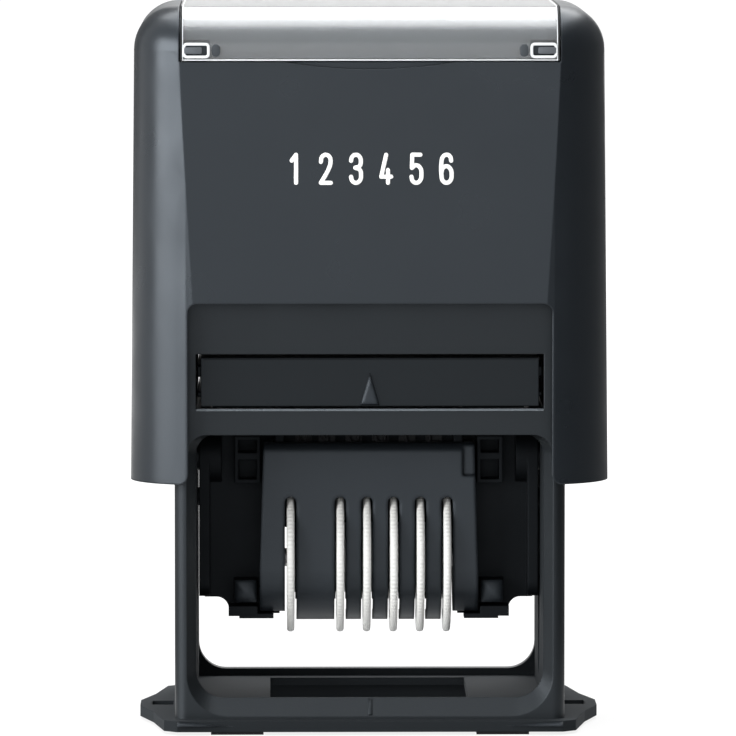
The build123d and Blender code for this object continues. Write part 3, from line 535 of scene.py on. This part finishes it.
def end_strip(x, width, proud):
    """A strip over the head along the window's end: up the front, over and down the back."""
    shape = bmesh.new()
    bmesh.ops.create_grid(shape, x_segments=1, y_segments=1, size=0.5)
    bmesh.ops.delete(shape, geom=shape.faces[:], context="FACES_ONLY")
    bmesh.ops.scale(shape, verts=shape.verts, vec=(width, STRIP_DEPTH, 1))
    bmesh.ops.translate(shape, verts=shape.verts,
                        vec=(x, window_low.y - proud + STRIP_DEPTH / 2, window_low.z))
    verts, edges = shape.verts[:], shape.edges[:]
    crown_y, crown_z = window_low.y + CROWN, window_high.z - CROWN - proud
    for kind, amount in (("rise", crown_z - window_low.z), ("turn", crown_y),
                         ("run", -2 * crown_y), ("turn", -crown_y),
                         ("fall", window_low.z - crown_z)):
        if kind == "turn":
            turned = bmesh.ops.spin(shape, geom=verts + edges, cent=(0, amount, crown_z),
                                    axis=(1, 0, 0), angle=-pi / 2, steps=CROWN_STEPS,
                                    use_merge=False)
            verts, edges = new_end(turned["geom_last"])
        else:
            verts, edges = new_end(bmesh.ops.extrude_edge_only(shape, edges=edges)["geom"])
            bmesh.ops.translate(shape, verts=verts,
                                vec=(0, amount, 0) if kind == "run" else (0, 0, amount))
    bmesh.ops.holes_fill(shape, edges=[edge for edge in shape.edges if edge.is_boundary], sides=4)
    bmesh.ops.recalc_face_normals(shape, faces=shape.faces)
    return shape


print("the way over the head turns by", 90 // CROWN_STEPS, "degrees at a step")

# %% Painted gap shadows and painted bright ends
GAP_SHADOW_WIDTH, GAP_SHADOW_PROUD = 0.24 * MM, 0.03 * MM
END_WIDTH, END_PROUD = 0.12 * MM, 0.02 * MM
gap_shadows, ends = bmesh.new(), bmesh.new()
for side in (-1, 1):
    gather(gap_shadows, end_strip(side * (window_high.x - GAP_SHADOW_WIDTH / 2), GAP_SHADOW_WIDTH, GAP_SHADOW_PROUD))
    gather(ends, end_strip(side * (window_high.x - GAP_SHADOW_WIDTH - END_WIDTH / 2), END_WIDTH,
                           END_PROUD))
# A dark strip in the rubber's colour is painted shadow of the gap; the pale strip is a painted
# highlight.
finish_piece("window_gap_shadows", gap_shadows, "cap", rubber)
finish_piece("window_end_highlights", ends, "cap", edge_highlight_ps)

# %% [markdown]
# ## Latches of the window
# Inside each ring sits the cap's grey latch, which the catch snaps over, and beside it the
# end of the springy arm that carries it, lying back a little; the shade on it is painted as
# a darker grey. Both are the same rounded plate without a hole.

# %% Latches and their arms
LATCH_WIDTH, LATCH_HEIGHT, LATCH_PROUD = 2.3 * MM, 0.86 * MM, 0.36 * MM
LATCH_X, LATCH_CORNER = CATCH_X + 0.42 * MM, 0.2 * MM
ARM_WIDTH, ARM_HEIGHT, ARM_PROUD, ARM_CORNER = 1.1 * MM, 1.6 * MM, 0.05 * MM, 0.5 * MM
ARM_X = CATCH_X - CATCH_WIDTH / 2 - 0.7 * ARM_WIDTH          # a gap of 0.2 arms' width

# Plain grey ABS, dull, so that neither draws the eye from the bright ring; the arm's darker grey
# is painted shade.
latch_abs = moulded_finish("grey_abs_latch", "#505357", 0.50, 0.28, 0.004, 0.05)
arm_shade_abs = moulded_finish("latch_arm_painted_shade", "#303336", 0.50, 0.28, 0.004, 0.05)
latches, arms = bmesh.new(), bmesh.new()
for side_of_cap in BOTH_SIDES:
    for side in (-1, 1):
        gather(latches, rounded_plate(LATCH_WIDTH, LATCH_HEIGHT, LATCH_PROUD, LATCH_CORNER),
               side_of_cap @ on_panel(side * LATCH_X, CATCH_Z))
        gather(arms, rounded_plate(ARM_WIDTH, ARM_HEIGHT, ARM_PROUD, ARM_CORNER),
               side_of_cap @ on_panel(side * ARM_X, CATCH_Z))
finish_piece("window_latches", latches, "cap", latch_abs)
finish_piece("latch_arms", arms, "cap", arm_shade_abs)

# %% [markdown]
# ## Arrow on the cassette
# A raised arrow shows which way the pad cassette goes in. Its flanks slope, so the left one
# catches the light: a cone of three sides, cut off low, is stretched to the arrow's outline.
# Cut from a circle of radius one, its triangle is sqrt(3) wide and 1.5 high.

# %% Arrow
cassette_low, cassette_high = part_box("pad_cassette")
SOLID_ARROW = 0.3 * MM                   # the solid's own low arrow stands out this far
CASSETTE_FACE = cassette_low.y + SOLID_ARROW
ARROW_WIDTH, ARROW_HEIGHT, ARROW_PROUD, FLANK = 2.2 * MM, 3.7 * MM, 0.36 * MM, 0.14
ARROW_FOOT_Z = cassette_low.z + 0.3 * MM
arrow = bmesh.new()
bmesh.ops.create_cone(arrow, cap_ends=True, cap_tris=False, segments=3, radius1=1.0 + FLANK,
                      radius2=1.0, depth=1.0)
bmesh.ops.scale(arrow, verts=arrow.verts,
                vec=(ARROW_WIDTH / sqrt(3), ARROW_HEIGHT / 1.5, ARROW_PROUD))
arrow_foot = min(vert.co.y for vert in arrow.verts if vert.co.z > 0)
bmesh.ops.transform(arrow, verts=arrow.verts, matrix=Matrix.Translation(
    (0, CASSETTE_FACE - ARROW_PROUD / 2, ARROW_FOOT_Z - arrow_foot))
    @ Matrix.Rotation(pi / 2, 4, "X"))
# The arrow takes the cover's greyer plastic, lighter than the cassette it is moulded with: painted
# light.
finish_piece("cassette_arrow", arrow, "cassette", cover_abs, crease=FACETS)

# %% [markdown]
# ## Lips that catch the light
# The lower edge of the cassette's slot has a lip that slopes at 45 degrees and is glossier,
# as if polished by cassettes sliding over it. Its plastic is also drawn much lighter than
# the frame's, a painted highlight. It is only a quarter of a millimetre high, but it mirrors
# the lamp overhead and draws a bright line, so it is real geometry: a bar of three sides
# laid along the edge. The cassette's upper edge has a smaller one.

# %% Lips
LIP_ROOT = 0.03 * MM                     # how far a lip's foot is sunk in what carries it
FRAME_FACE, SLOT_WIDTH, SLOT_FOOT, SLOT_LIP = -17.4 * MM, 45.0 * MM, 42.2 * MM, 0.25 * MM
CASSETTE_LIP, CASSETTE_LIP_END, CASSETTE_LIP_DROP = 0.10 * MM, 0.3 * MM, 0.1 * MM


def lip_bar(length, y, z, size):
    """A bar of three sides along X that stands out from a front upper edge at 45 degrees."""
    bar = bmesh.new()
    corners = [bar.verts.new((-length / 2, y + along, z + up))
               for along, up in ((-size, -size), (LIP_ROOT, -size), (LIP_ROOT, LIP_ROOT))]
    grown = bmesh.ops.extrude_face_region(bar, geom=[bar.faces.new(corners)])["geom"]
    bmesh.ops.translate(bar, vec=(length, 0, 0),
                        verts=[item for item in grown if isinstance(item, bmesh.types.BMVert)])
    bmesh.ops.recalc_face_normals(bar, faces=bar.faces)
    return bar


# Painted highlight: drawn far lighter than the frame, and it mirrors twice as well as new plastic,
# as if rubbed by the cassette.
lip_highlight_abs = moulded_finish("abs_lip_painted_highlight", "#484D51", 0.30, 0.25, 0.002, 0.05,
                          specular=1.0)
finish_piece("slot_lip", lip_bar(SLOT_WIDTH, FRAME_FACE, SLOT_FOOT, SLOT_LIP), "base",
             lip_highlight_abs, crease=FACETS)
finish_piece("cassette_lip",
             lip_bar(2 * (cassette_high.x - CASSETTE_LIP_END), CASSETTE_FACE,
                     cassette_high.z - CASSETTE_LIP_DROP, CASSETTE_LIP),
             "cassette", cassette_abs, crease=FACETS)

# %% [markdown]
# ## Guide ribs of the cassette
# Two ribs on each side of the cassette slide along the frame's rails. They are seen end on
# in the gap beside it: rounded plates again, stood upright and turned to face sideways.

# %% Guide ribs
RIBS = ((46.9 * MM, 1.5 * MM), (43.9 * MM, 0.7 * MM))        # middle and height of each
RIB_LENGTH, RIB_PROUD, RIB_CORNER = 30 * MM, 0.46 * MM, 0.3 * MM
ribs = bmesh.new()
for side in (-1, 1):
    for z, height in RIBS:
        gather(ribs, rounded_plate(RIB_LENGTH, height, RIB_PROUD, RIB_CORNER),
               Matrix.Translation((side * cassette_high.x, 0, z))
               @ Matrix.Rotation(side * pi / 2, 4, "Z") @ Matrix.Rotation(pi / 2, 4, "X"))
finish_piece("cassette_ribs", ribs, "cassette", cassette_abs)

# %% [markdown]
# ## Gussets of the flange
# At each corner of the flange a small gusset runs down into the front edge and stiffens
# the ear beside it. A triangle is extruded and its far end is merged to a point.

# %% Gussets
FLANGE_FACE, FLANGE_TOP, GUSSET_FOOT = -19.5 * MM, 1.8 * MM, 1.15 * MM
GUSSET_FAR, GUSSET_NEAR, GUSSET_DEPTH, GUSSET_ROOT = 25.0 * MM, 17.4 * MM, 0.62 * MM, 0.02 * MM
gussets = bmesh.new()
for side_of_frame in BOTH_SIDES:
    for side in (-1, 1):
        gusset = bmesh.new()
        end = [gusset.verts.new((side * GUSSET_FAR, FLANGE_FACE + along, z))
               for along, z in ((GUSSET_ROOT, FLANGE_TOP), (-GUSSET_DEPTH, GUSSET_FOOT),
                                (GUSSET_ROOT, GUSSET_FOOT))]
        grown = bmesh.ops.extrude_face_region(gusset, geom=[gusset.faces.new(end)])["geom"]
        tip = [item for item in grown if isinstance(item, bmesh.types.BMVert)]
        bmesh.ops.pointmerge(gusset, verts=tip,
                             merge_co=(side * GUSSET_NEAR, FLANGE_FACE + GUSSET_ROOT, GUSSET_FOOT))
        bmesh.ops.recalc_face_normals(gusset, faces=gusset.faces)
        gather(gussets, gusset, side_of_frame)
# The gussets take the cover's greyer plastic, lighter than the frame they are moulded with:
# painted light on their sloping faces.
finish_piece("flange_gussets", gussets, "base", cover_abs, crease=FACETS)

# %% [markdown]
# ## Mark on the sill, faces of the bosses
# A low ridge on the sloping sill marks the middle of the print, so that the stamp can be
# set down in line. The two square bosses of the number unit have a raised face where the
# mould's ejectors pressed; these faces take the cover's greyer plastic, lighter than the
# unit's, as painted light. Both are rounded plates, laid on what carries them.

# %% Mark and boss faces
SILL_LOW, SILL_HIGH = Vector((-17.4, 2.15)) * MM, Vector((-15.9, 4.45)) * MM      # (y, z)
MARK_WIDTH, MARK_SHARE, MARK_PROUD, MARK_CORNER = 0.55 * MM, 0.86, 0.09 * MM, 0.1 * MM
MARK_X = 0.05 * MM
slope, middle_of_slope = SILL_HIGH - SILL_LOW, (SILL_LOW + SILL_HIGH) / 2
mark = bmesh.new()
gather(mark, rounded_plate(MARK_WIDTH, MARK_SHARE * slope.length, MARK_PROUD, MARK_CORNER),
       Matrix.Translation((MARK_X, middle_of_slope.x, middle_of_slope.y))
       @ Matrix.Rotation(atan2(slope.y, slope.x), 4, "X"))
finish_piece("sill_mark", mark, "base", frame_abs)

BOSS_X, BOSS_Z, BOSS_FACE = 16.15 * MM, 17.15 * MM, -5.0 * MM
BOSS_SIZE, BOSS_PROUD, BOSS_CORNER, BOSS_ROOT = 2.9 * MM, 0.22 * MM, 0.2 * MM, 0.03 * MM
boss_faces = bmesh.new()
for side in (-1, 1):
    gather(boss_faces, rounded_plate(BOSS_SIZE, BOSS_SIZE, BOSS_PROUD, BOSS_CORNER),
           Matrix.Translation((side * BOSS_X, BOSS_FACE + BOSS_ROOT, BOSS_Z))
           @ Matrix.Rotation(pi / 2, 4, "X"))
# Painted light: the boss faces are drawn in the cover's greyer plastic, lighter than the unit they
# belong to.
finish_piece("boss_faces", boss_faces, "number_unit", cover_abs)

# %% [markdown]
# ## Setting wheels
# Each digit is set with a thumbwheel: a thin acetal disc whose rim is finely toothed, with a
# drum beside it that drives the band. One closed profile, spun round the shaft, makes disc,
# drum and bore in one mesh. Four steps of the spin go to a tooth, and the rim's points are
# then pulled in by a cosine of their step, so that the teeth are round as a mould leaves
# them. The construction model has fewer teeth, to stay light.

# %% Profile of a wheel
TEETH, STEPS_PER_TOOTH, TOOTH_DEPTH = 110, 4, 0.08 * MM
wheel_low, wheel_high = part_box("setting_wheel_1")
WHEEL_Z, RIM = (wheel_low.z + wheel_high.z) / 2, (wheel_high.z - wheel_low.z) / 2
DRUM, BORE = 4.6 * MM, 1.26 * MM
HALF_DISC, DRUM_WIDTH = 0.5 * MM, 2.4 * MM
DISH_DEPTH, DISH_LOW, DISH_HIGH = 0.15 * MM, 2.4 * MM, RIM - 1.2 * MM
RIM_BEVEL = 0.40 * MM
TEETH_FROM = RIM - 1.5 * RIM_BEVEL       # only what lies outside this radius is toothed
MERGE = 0.001 * MM


def rim_round(face_x, inward):
    """Points that round one edge of the rim, from the disc's face up to the rim."""
    turns = [radians(angle) for angle in (0, 30, 60, 90)]
    return [(face_x + inward * RIM_BEVEL * (1 - cos(turn)), RIM - RIM_BEVEL * (1 - sin(turn)))
            for turn in turns]


def wheel_profile(disc_x, side):
    """Corners (x, radius) of a wheel's half section; the drum is on the given side."""
    outer, inner = -side * HALF_DISC, side * HALF_DISC
    dish = outer + side * DISH_DEPTH
    corners = [(outer, BORE), (outer, DISH_LOW), (dish, DISH_LOW + DISH_DEPTH),
               (dish, DISH_HIGH), (outer, DISH_HIGH + DISH_DEPTH)]
    corners += rim_round(outer, side) + rim_round(inner, -side)[::-1]
    corners += [(inner, DRUM), (inner + side * DRUM_WIDTH, DRUM),
                (inner + side * DRUM_WIDTH, BORE)]
    return [(disc_x + x, radius) for x, radius in corners]


print("wheels of", round(2 * RIM / MM, 1), "mm with", TEETH, "teeth")


# %% Toothed wheels
def toothed_wheel(disc_x, side):
    """A wheel spun from its profile, with the rim's points pulled in between the teeth."""
    shape = bmesh.new()
    corners = [shape.verts.new((x, 0, WHEEL_Z + radius))
               for x, radius in wheel_profile(disc_x, side)]
    loop = [shape.edges.new((corners[k - 1], corners[k])) for k in range(len(corners))]
    bmesh.ops.spin(shape, geom=corners + loop, cent=(disc_x, 0, WHEEL_Z), axis=(1, 0, 0),
                   angle=2 * pi, steps=TEETH * STEPS_PER_TOOTH, use_merge=True)
    bmesh.ops.remove_doubles(shape, verts=shape.verts, dist=MERGE)
    for vert in shape.verts:
        radius = sqrt(vert.co.y ** 2 + (vert.co.z - WHEEL_Z) ** 2)
        if radius > TEETH_FROM:
            turn = atan2(vert.co.y, vert.co.z - WHEEL_Z)
            shrink = 1 - TOOTH_DEPTH * (1 - cos(TEETH * turn)) / 2 / radius
            vert.co.y *= shrink
            vert.co.z = WHEEL_Z + (vert.co.z - WHEEL_Z) * shrink
    bmesh.ops.recalc_face_normals(shape, faces=shape.faces)
    return shape


wheel_places = []
for n in NUMBERS:
    low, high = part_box(f"setting_wheel_{n}")
    side = 1 if n == 1 else -1           # the first drum lies to the right of its disc
    disc_x = low.x + HALF_DISC if side == 1 else high.x - HALF_DISC
    wheel_places.append((disc_x, side))
    wheel = finish_piece(f"thumbwheel_{n}", toothed_wheel(disc_x, side), f"wheel_{n}",
                         wheel_acetal)
    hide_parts(f"setting_wheel_{n}")

# %% [markdown]
# ## Type on the bands
# Each rubber band carries the digits 0 to 9, mirrored so that they print the right way
# round. A band runs round its drum and over the platen, so a flat digit would stand off
# it at the bends. Each point of a digit is therefore put on the band's path: so far along
# it, so far across it and so far out from it.

# %% The band's path
ROUND_LOW = 5.5 * MM                     # outside of the band round its drum
ROUND_TOP = 1.6 * MM                     # outside of the band at the platen's corners
TOP_Y, TOP_Z = 2.1 * MM, 40.35 * MM      # centres of those corners

flank = Vector((TOP_Y, TOP_Z - WHEEL_Z)).length
flank_lean = atan2(TOP_Y, TOP_Z - WHEEL_Z) + asin((ROUND_TOP - ROUND_LOW) / flank)
flank_run = sqrt(flank ** 2 - (ROUND_LOW - ROUND_TOP) ** 2)
corner_turn = pi / 2 + flank_lean
FLANK_FROM = TOP_Y + corner_turn * ROUND_TOP          # lengths from the platen's middle
FLANK_TO = FLANK_FROM + flank_run
BAND_LENGTH = 2 * (FLANK_TO + (pi - corner_turn) * ROUND_LOW)


def on_band(along):
    """Point (y, z) and outward direction so far along the band from the platen's middle."""
    sign = 1 if along >= 0 else -1
    left = abs(along)
    if left <= TOP_Y:
        point, out = Vector((left, TOP_Z + ROUND_TOP)), Vector((0, 1))
    elif left <= FLANK_FROM:
        turn = (left - TOP_Y) / ROUND_TOP
        out = Vector((sin(turn), cos(turn)))
        point = Vector((TOP_Y, TOP_Z)) + ROUND_TOP * out
    elif left <= FLANK_TO:
        out = Vector((sin(corner_turn), cos(corner_turn)))
        start = Vector((TOP_Y, TOP_Z)) + ROUND_TOP * out
        point = start + (left - FLANK_FROM) * Vector((out.y, -out.x))
    else:
        turn = corner_turn + (left - FLANK_TO) / ROUND_LOW
        out = Vector((sin(turn), cos(turn)))
        point = Vector((0, WHEEL_Z)) + ROUND_LOW * out
    return Vector((sign * point.x, point.y)), Vector((sign * out.x, out.y))


print("band", round(BAND_LENGTH / MM, 1), "mm round, one digit each",
      round(BAND_LENGTH / 10 / MM, 2), "mm")

# %% Raise the type
DIGITS = "0123456789"
TYPE_PITCH = BAND_LENGTH / len(DIGITS)
TYPE_HEIGHT, TYPE_SIZE, TYPE_WIDTH, TYPE_STROKE = 0.38 * MM, 4.0 * MM, 1.8 * MM, 0.5 * MM

for n, (disc_x, side) in zip(NUMBERS, wheel_places):
    type_face = bmesh.new()
    band_x = disc_x + side * (HALF_DISC + DRUM_WIDTH / 2)
    for digit in DIGITS:
        shape = digit_mesh(digit, TYPE_SIZE, TYPE_WIDTH, TYPE_STROKE, 2 * TYPE_HEIGHT)
        middle = ((int(digit) - n + 5) % 10 - 5) * TYPE_PITCH     # digit n is set to print
        for vert in shape.verts:
            along = middle - vert.co.y
            if abs(along) > BAND_LENGTH / 2:
                along -= BAND_LENGTH if along > 0 else -BAND_LENGTH
            point, out = on_band(along)
            raised = point + out * vert.co.z
            vert.co = (band_x + vert.co.x, raised.x, raised.y)
        shape.normal_update()
        bmesh.ops.recalc_face_normals(shape, faces=shape.faces)
        gather(type_face, shape)
    finish_piece(f"band_type_{n}", type_face, "number_unit", rubber)

# %% [markdown]
# ## Return spring
# A compression spring of drawn steel wire stands on the frame's deck and lifts the cap. A
# circle of twelve sides, spun and raised at the same time, gives the coil; the open ends of
# the wire are then filled.

# %% Coil the wire
spring_low, spring_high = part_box("return_spring")
spring_height = spring_high.z - spring_low.z
COIL_RADIUS, WIRE_RADIUS, WIRE_SIDES = 5.4 * MM, 0.5 * MM, 12
COIL_TURNS, STEPS_PER_TURN = 5, 48
coil_steps = COIL_TURNS * STEPS_PER_TURN
coil = bmesh.new()
bmesh.ops.create_circle(coil, cap_ends=False, segments=WIRE_SIDES, radius=WIRE_RADIUS)
bmesh.ops.transform(coil, verts=coil.verts,
                    matrix=Matrix.Translation((COIL_RADIUS, 0, spring_low.z + WIRE_RADIUS))
                    @ Matrix.Rotation(pi / 2, 4, "X"))
bmesh.ops.spin(coil, geom=coil.verts[:] + coil.edges[:], cent=(0, 0, 0), axis=(0, 0, 1),
               dvec=(0, 0, (spring_height - 2 * WIRE_RADIUS) / coil_steps),
               angle=2 * pi * COIL_TURNS, steps=coil_steps, use_merge=False)
bmesh.ops.holes_fill(coil, edges=[edge for edge in coil.edges if edge.is_boundary],
                     sides=WIRE_SIDES)
bmesh.ops.recalc_face_normals(coil, faces=coil.faces)
spring = finish_piece("spring_coil", coil, "base", steel)
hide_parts("return_spring")
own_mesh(spring)

# %% [markdown]
# ## Camera
# The camera stands nearly a metre away, a little above the object, and has a long lens, so
# that the object's sides stay almost parallel.

# %% Camera
CAMERA_PLACE = (-0.0117, -0.968, 0.12433)
LOOK_DOWN, LOOK_RIGHT = radians(4.62), radians(0.69)
SENSOR, LENS, NEAREST = 36, 361, 0.05                 # mm, mm, m
camera = bpy.data.objects.new("camera", bpy.data.cameras.new("camera"))
bpy.context.scene.collection.objects.link(camera)
camera.location = CAMERA_PLACE
camera.rotation_euler = (pi / 2 - LOOK_DOWN, 0, -LOOK_RIGHT)
camera.data.sensor_width = SENSOR
camera.data.lens = LENS
camera.data.clip_start = NEAREST
bpy.context.scene.camera = camera
print("camera", round(Vector(CAMERA_PLACE).length, 2), "m away,", LENS, "mm lens")

# %% [markdown]
# ## Lamps
# Black plastic shows little colour of its own: what the eye reads are the reflections of
# the lamps. A wide softbox overhead whitens the window's rounded top and the sloping sill,
# one on the left draws the bright band down the left cheek, and the right side is left to
# the dim room. A wide, weak one behind the camera stands for the room's white wall, which
# the upright panels mirror. An area lamp's brightness is its power over pi times its area,
# so each lamp here is given the brightness wanted and works out its power.

# %% Softboxes
AIM = (0, 0, 0.05)                       # the middle of the object


def softbox(name, place, size, brightness):
    """A rectangular lamp aimed at the object, that the camera doesn't see."""
    light = bpy.data.lights.new(name, "AREA")
    light.shape = "RECTANGLE"
    light.size, light.size_y = size
    light.energy = brightness * pi * size[0] * size[1]
    lamp = bpy.data.objects.new(name, light)
    bpy.context.scene.collection.objects.link(lamp)
    lamp.location = place
    lamp.visible_camera = False
    aim = Vector(AIM) - Vector(place)
    lamp.rotation_euler = aim.to_track_quat("-Z", "Y").to_euler()
    print(name, "at", round(aim.length, 2), "m,", round(light.energy, 1), "W")


# name, place in metres, width and height, brightness
softbox("overhead", (0.0, 0.23, 0.85), (1.10, 1.40), 4.4)
softbox("left", (-0.71, -0.46, 0.21), (0.80, 0.46), 9.0)
softbox("front", (0.0, -1.70, 0.15), (1.80, 1.10), 0.65)

# %% [markdown]
# ## Flags
# A white room would grey the dark plastic from all sides. Grey cards, called flags, hang
# where a reflection has to stay dark: here one on the right, one behind on the left, and
# two that lie on the floor where the cheeks would mirror it. Only glossy rays meet them,
# so they darken reflections and cast no shadow.

# %% Flags
def flag(name, place, size, stand):
    """A grey card, upright or lying: it keeps the white room out of one side of the object."""
    card = bmesh.new()
    bmesh.ops.create_grid(card, x_segments=1, y_segments=1, size=0.5)
    bmesh.ops.scale(card, verts=card.verts, vec=(size[0], size[1], 1))
    bmesh.ops.transform(card, matrix=Matrix.Translation(place) @ stand, verts=card.verts)
    mesh = bpy.data.meshes.new(name)
    card.to_mesh(mesh)
    card.free()
    mesh.materials.append(grey_card)
    holder = bpy.data.objects.new(name, mesh)
    bpy.context.scene.collection.objects.link(holder)
    holder.visible_camera = holder.visible_diffuse = False
    holder.visible_transmission = holder.visible_shadow = False
    print(name, size[0], "x", size[1], "m")


# Unprinted grey board, matt.
grey_card = new_material("grey_card", Base_Color=linear("#666666"), Roughness=0.9,
                         Specular_IOR_Level=0.1)[0]
flag("flag_right", (0.42, 0.15, 0.30), (0.60, 1.90), Matrix.Rotation(pi / 2, 4, "Y"))
flag("flag_back_left", (-0.27, 0.36, 0.27), (0.40, 0.48), Matrix.Rotation(pi / 2, 4, "X"))
flag("flag_low_right", (0.235, 0.15, 0.002), (0.36, 1.90), Matrix.Identity(4))
flag("flag_low_left", (-0.16, 0.0, 0.002), (0.22, 0.60), Matrix.Identity(4))

# %% [markdown]
# ## Floor and world
# To the camera the floor and the room are white, as a paper sweep is, and gloss and the
# window show the same white. The floor's white is a glow that fades a little close to the
# object, which keeps its shadow on it. The Light Path node tells these rays from the light
# that falls on the object, which gets only a plain floor and a dim grey room.

# %% Floor paper
GLOW_FROM, GLOW_TO = 0.08, 0.45          # metres from the object, over which the glow rises
GLOW_NEAR, GLOW_FAR = 0.84, 1.0


def seen(owner):
    """1 for rays of the camera, and for those that gloss or the clear window sends on."""
    rays = add_node(owner, "ShaderNodeLightPath").outputs
    through = add_node(owner, "ShaderNodeMath", {0: rays["Is Camera Ray"],
                                                 1: rays["Is Transmission Ray"]},
                       operation="MAXIMUM")
    return add_node(owner, "ShaderNodeMath", {0: through.outputs[0], 1: rays["Is Glossy Ray"]},
                    operation="MAXIMUM").outputs[0]


# White sweep paper, matt; darker to the rays that see its glow as well.
floor_paper = bpy.data.materials.new("white_paper_floor")
floor_paper.use_nodes = True
nodes = floor_paper.node_tree.nodes
nodes.remove(nodes["Principled BSDF"])
floor_seen = seen(floor_paper)
paper = add_node(floor_paper, "ShaderNodeMixRGB",
                 {"Fac": floor_seen, "Color1": linear("#BCBCBC"), "Color2": linear("#6A6A6A")})
matt = add_node(floor_paper, "ShaderNodeBsdfDiffuse", {"Color": paper.outputs["Color"]})
reach = add_node(floor_paper, "ShaderNodeVectorMath",
                 {0: add_node(floor_paper, "ShaderNodeTexCoord").outputs["Object"]},
                 operation="LENGTH")
fade = add_node(floor_paper, "ShaderNodeMapRange",
                {"Value": reach.outputs["Value"], "From Min": GLOW_FROM, "From Max": GLOW_TO,
                 "To Min": GLOW_NEAR, "To Max": GLOW_FAR})
glow = add_node(floor_paper, "ShaderNodeEmission",
                {"Color": linear("#FFFFFF"), "Strength": fade.outputs["Result"]})
dark = add_node(floor_paper, "ShaderNodeEmission", {"Color": linear("#FFFFFF"), "Strength": 0.0})
seen_glow = add_node(floor_paper, "ShaderNodeMixShader",
                     {0: floor_seen, 1: dark.outputs[0], 2: glow.outputs[0]})
sweep = add_node(floor_paper, "ShaderNodeAddShader", {0: matt.outputs[0], 1: seen_glow.outputs[0]})
floor_paper.node_tree.links.new(sweep.outputs[0], nodes["Material Output"].inputs["Surface"])
print(floor_paper.name, "has", len(nodes), "nodes")

# %% Lay the floor
FLOOR_HALF = 4.0                         # metres from the middle to a side
floor_shape = bmesh.new()
bmesh.ops.create_grid(floor_shape, x_segments=1, y_segments=1, size=FLOOR_HALF)
floor_mesh = bpy.data.meshes.new("floor")
floor_shape.to_mesh(floor_mesh)
floor_shape.free()
floor_mesh.materials.append(floor_paper)
floor = bpy.data.objects.new("floor", floor_mesh)
bpy.context.scene.collection.objects.link(floor)
print("floor", 2 * FLOOR_HALF, "m wide")

# %% World
ROOM, WHITE = 0.30, 1.0                  # light of the room on the object, and as it is seen
world = bpy.data.worlds.new("studio")
bpy.context.scene.world = world
world.use_nodes = True
backdrop = world.node_tree.nodes["Background"]
backdrop.inputs["Color"].default_value = linear("#FFFFFF")
level = add_node(world, "ShaderNodeMapRange",
                 {"Value": seen(world), "To Min": ROOM, "To Max": WHITE})
world.node_tree.links.new(level.outputs["Result"], backdrop.inputs["Strength"])
bpy.context.scene.view_settings.view_transform = "Standard"
print("room", ROOM, "seen as", WHITE)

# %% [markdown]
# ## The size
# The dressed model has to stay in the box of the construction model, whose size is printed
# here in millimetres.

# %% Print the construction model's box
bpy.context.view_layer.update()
low, high = cad_bounds
print("box", [round((to - start) / MM, 1) for start, to in zip(low, high)], "mm")
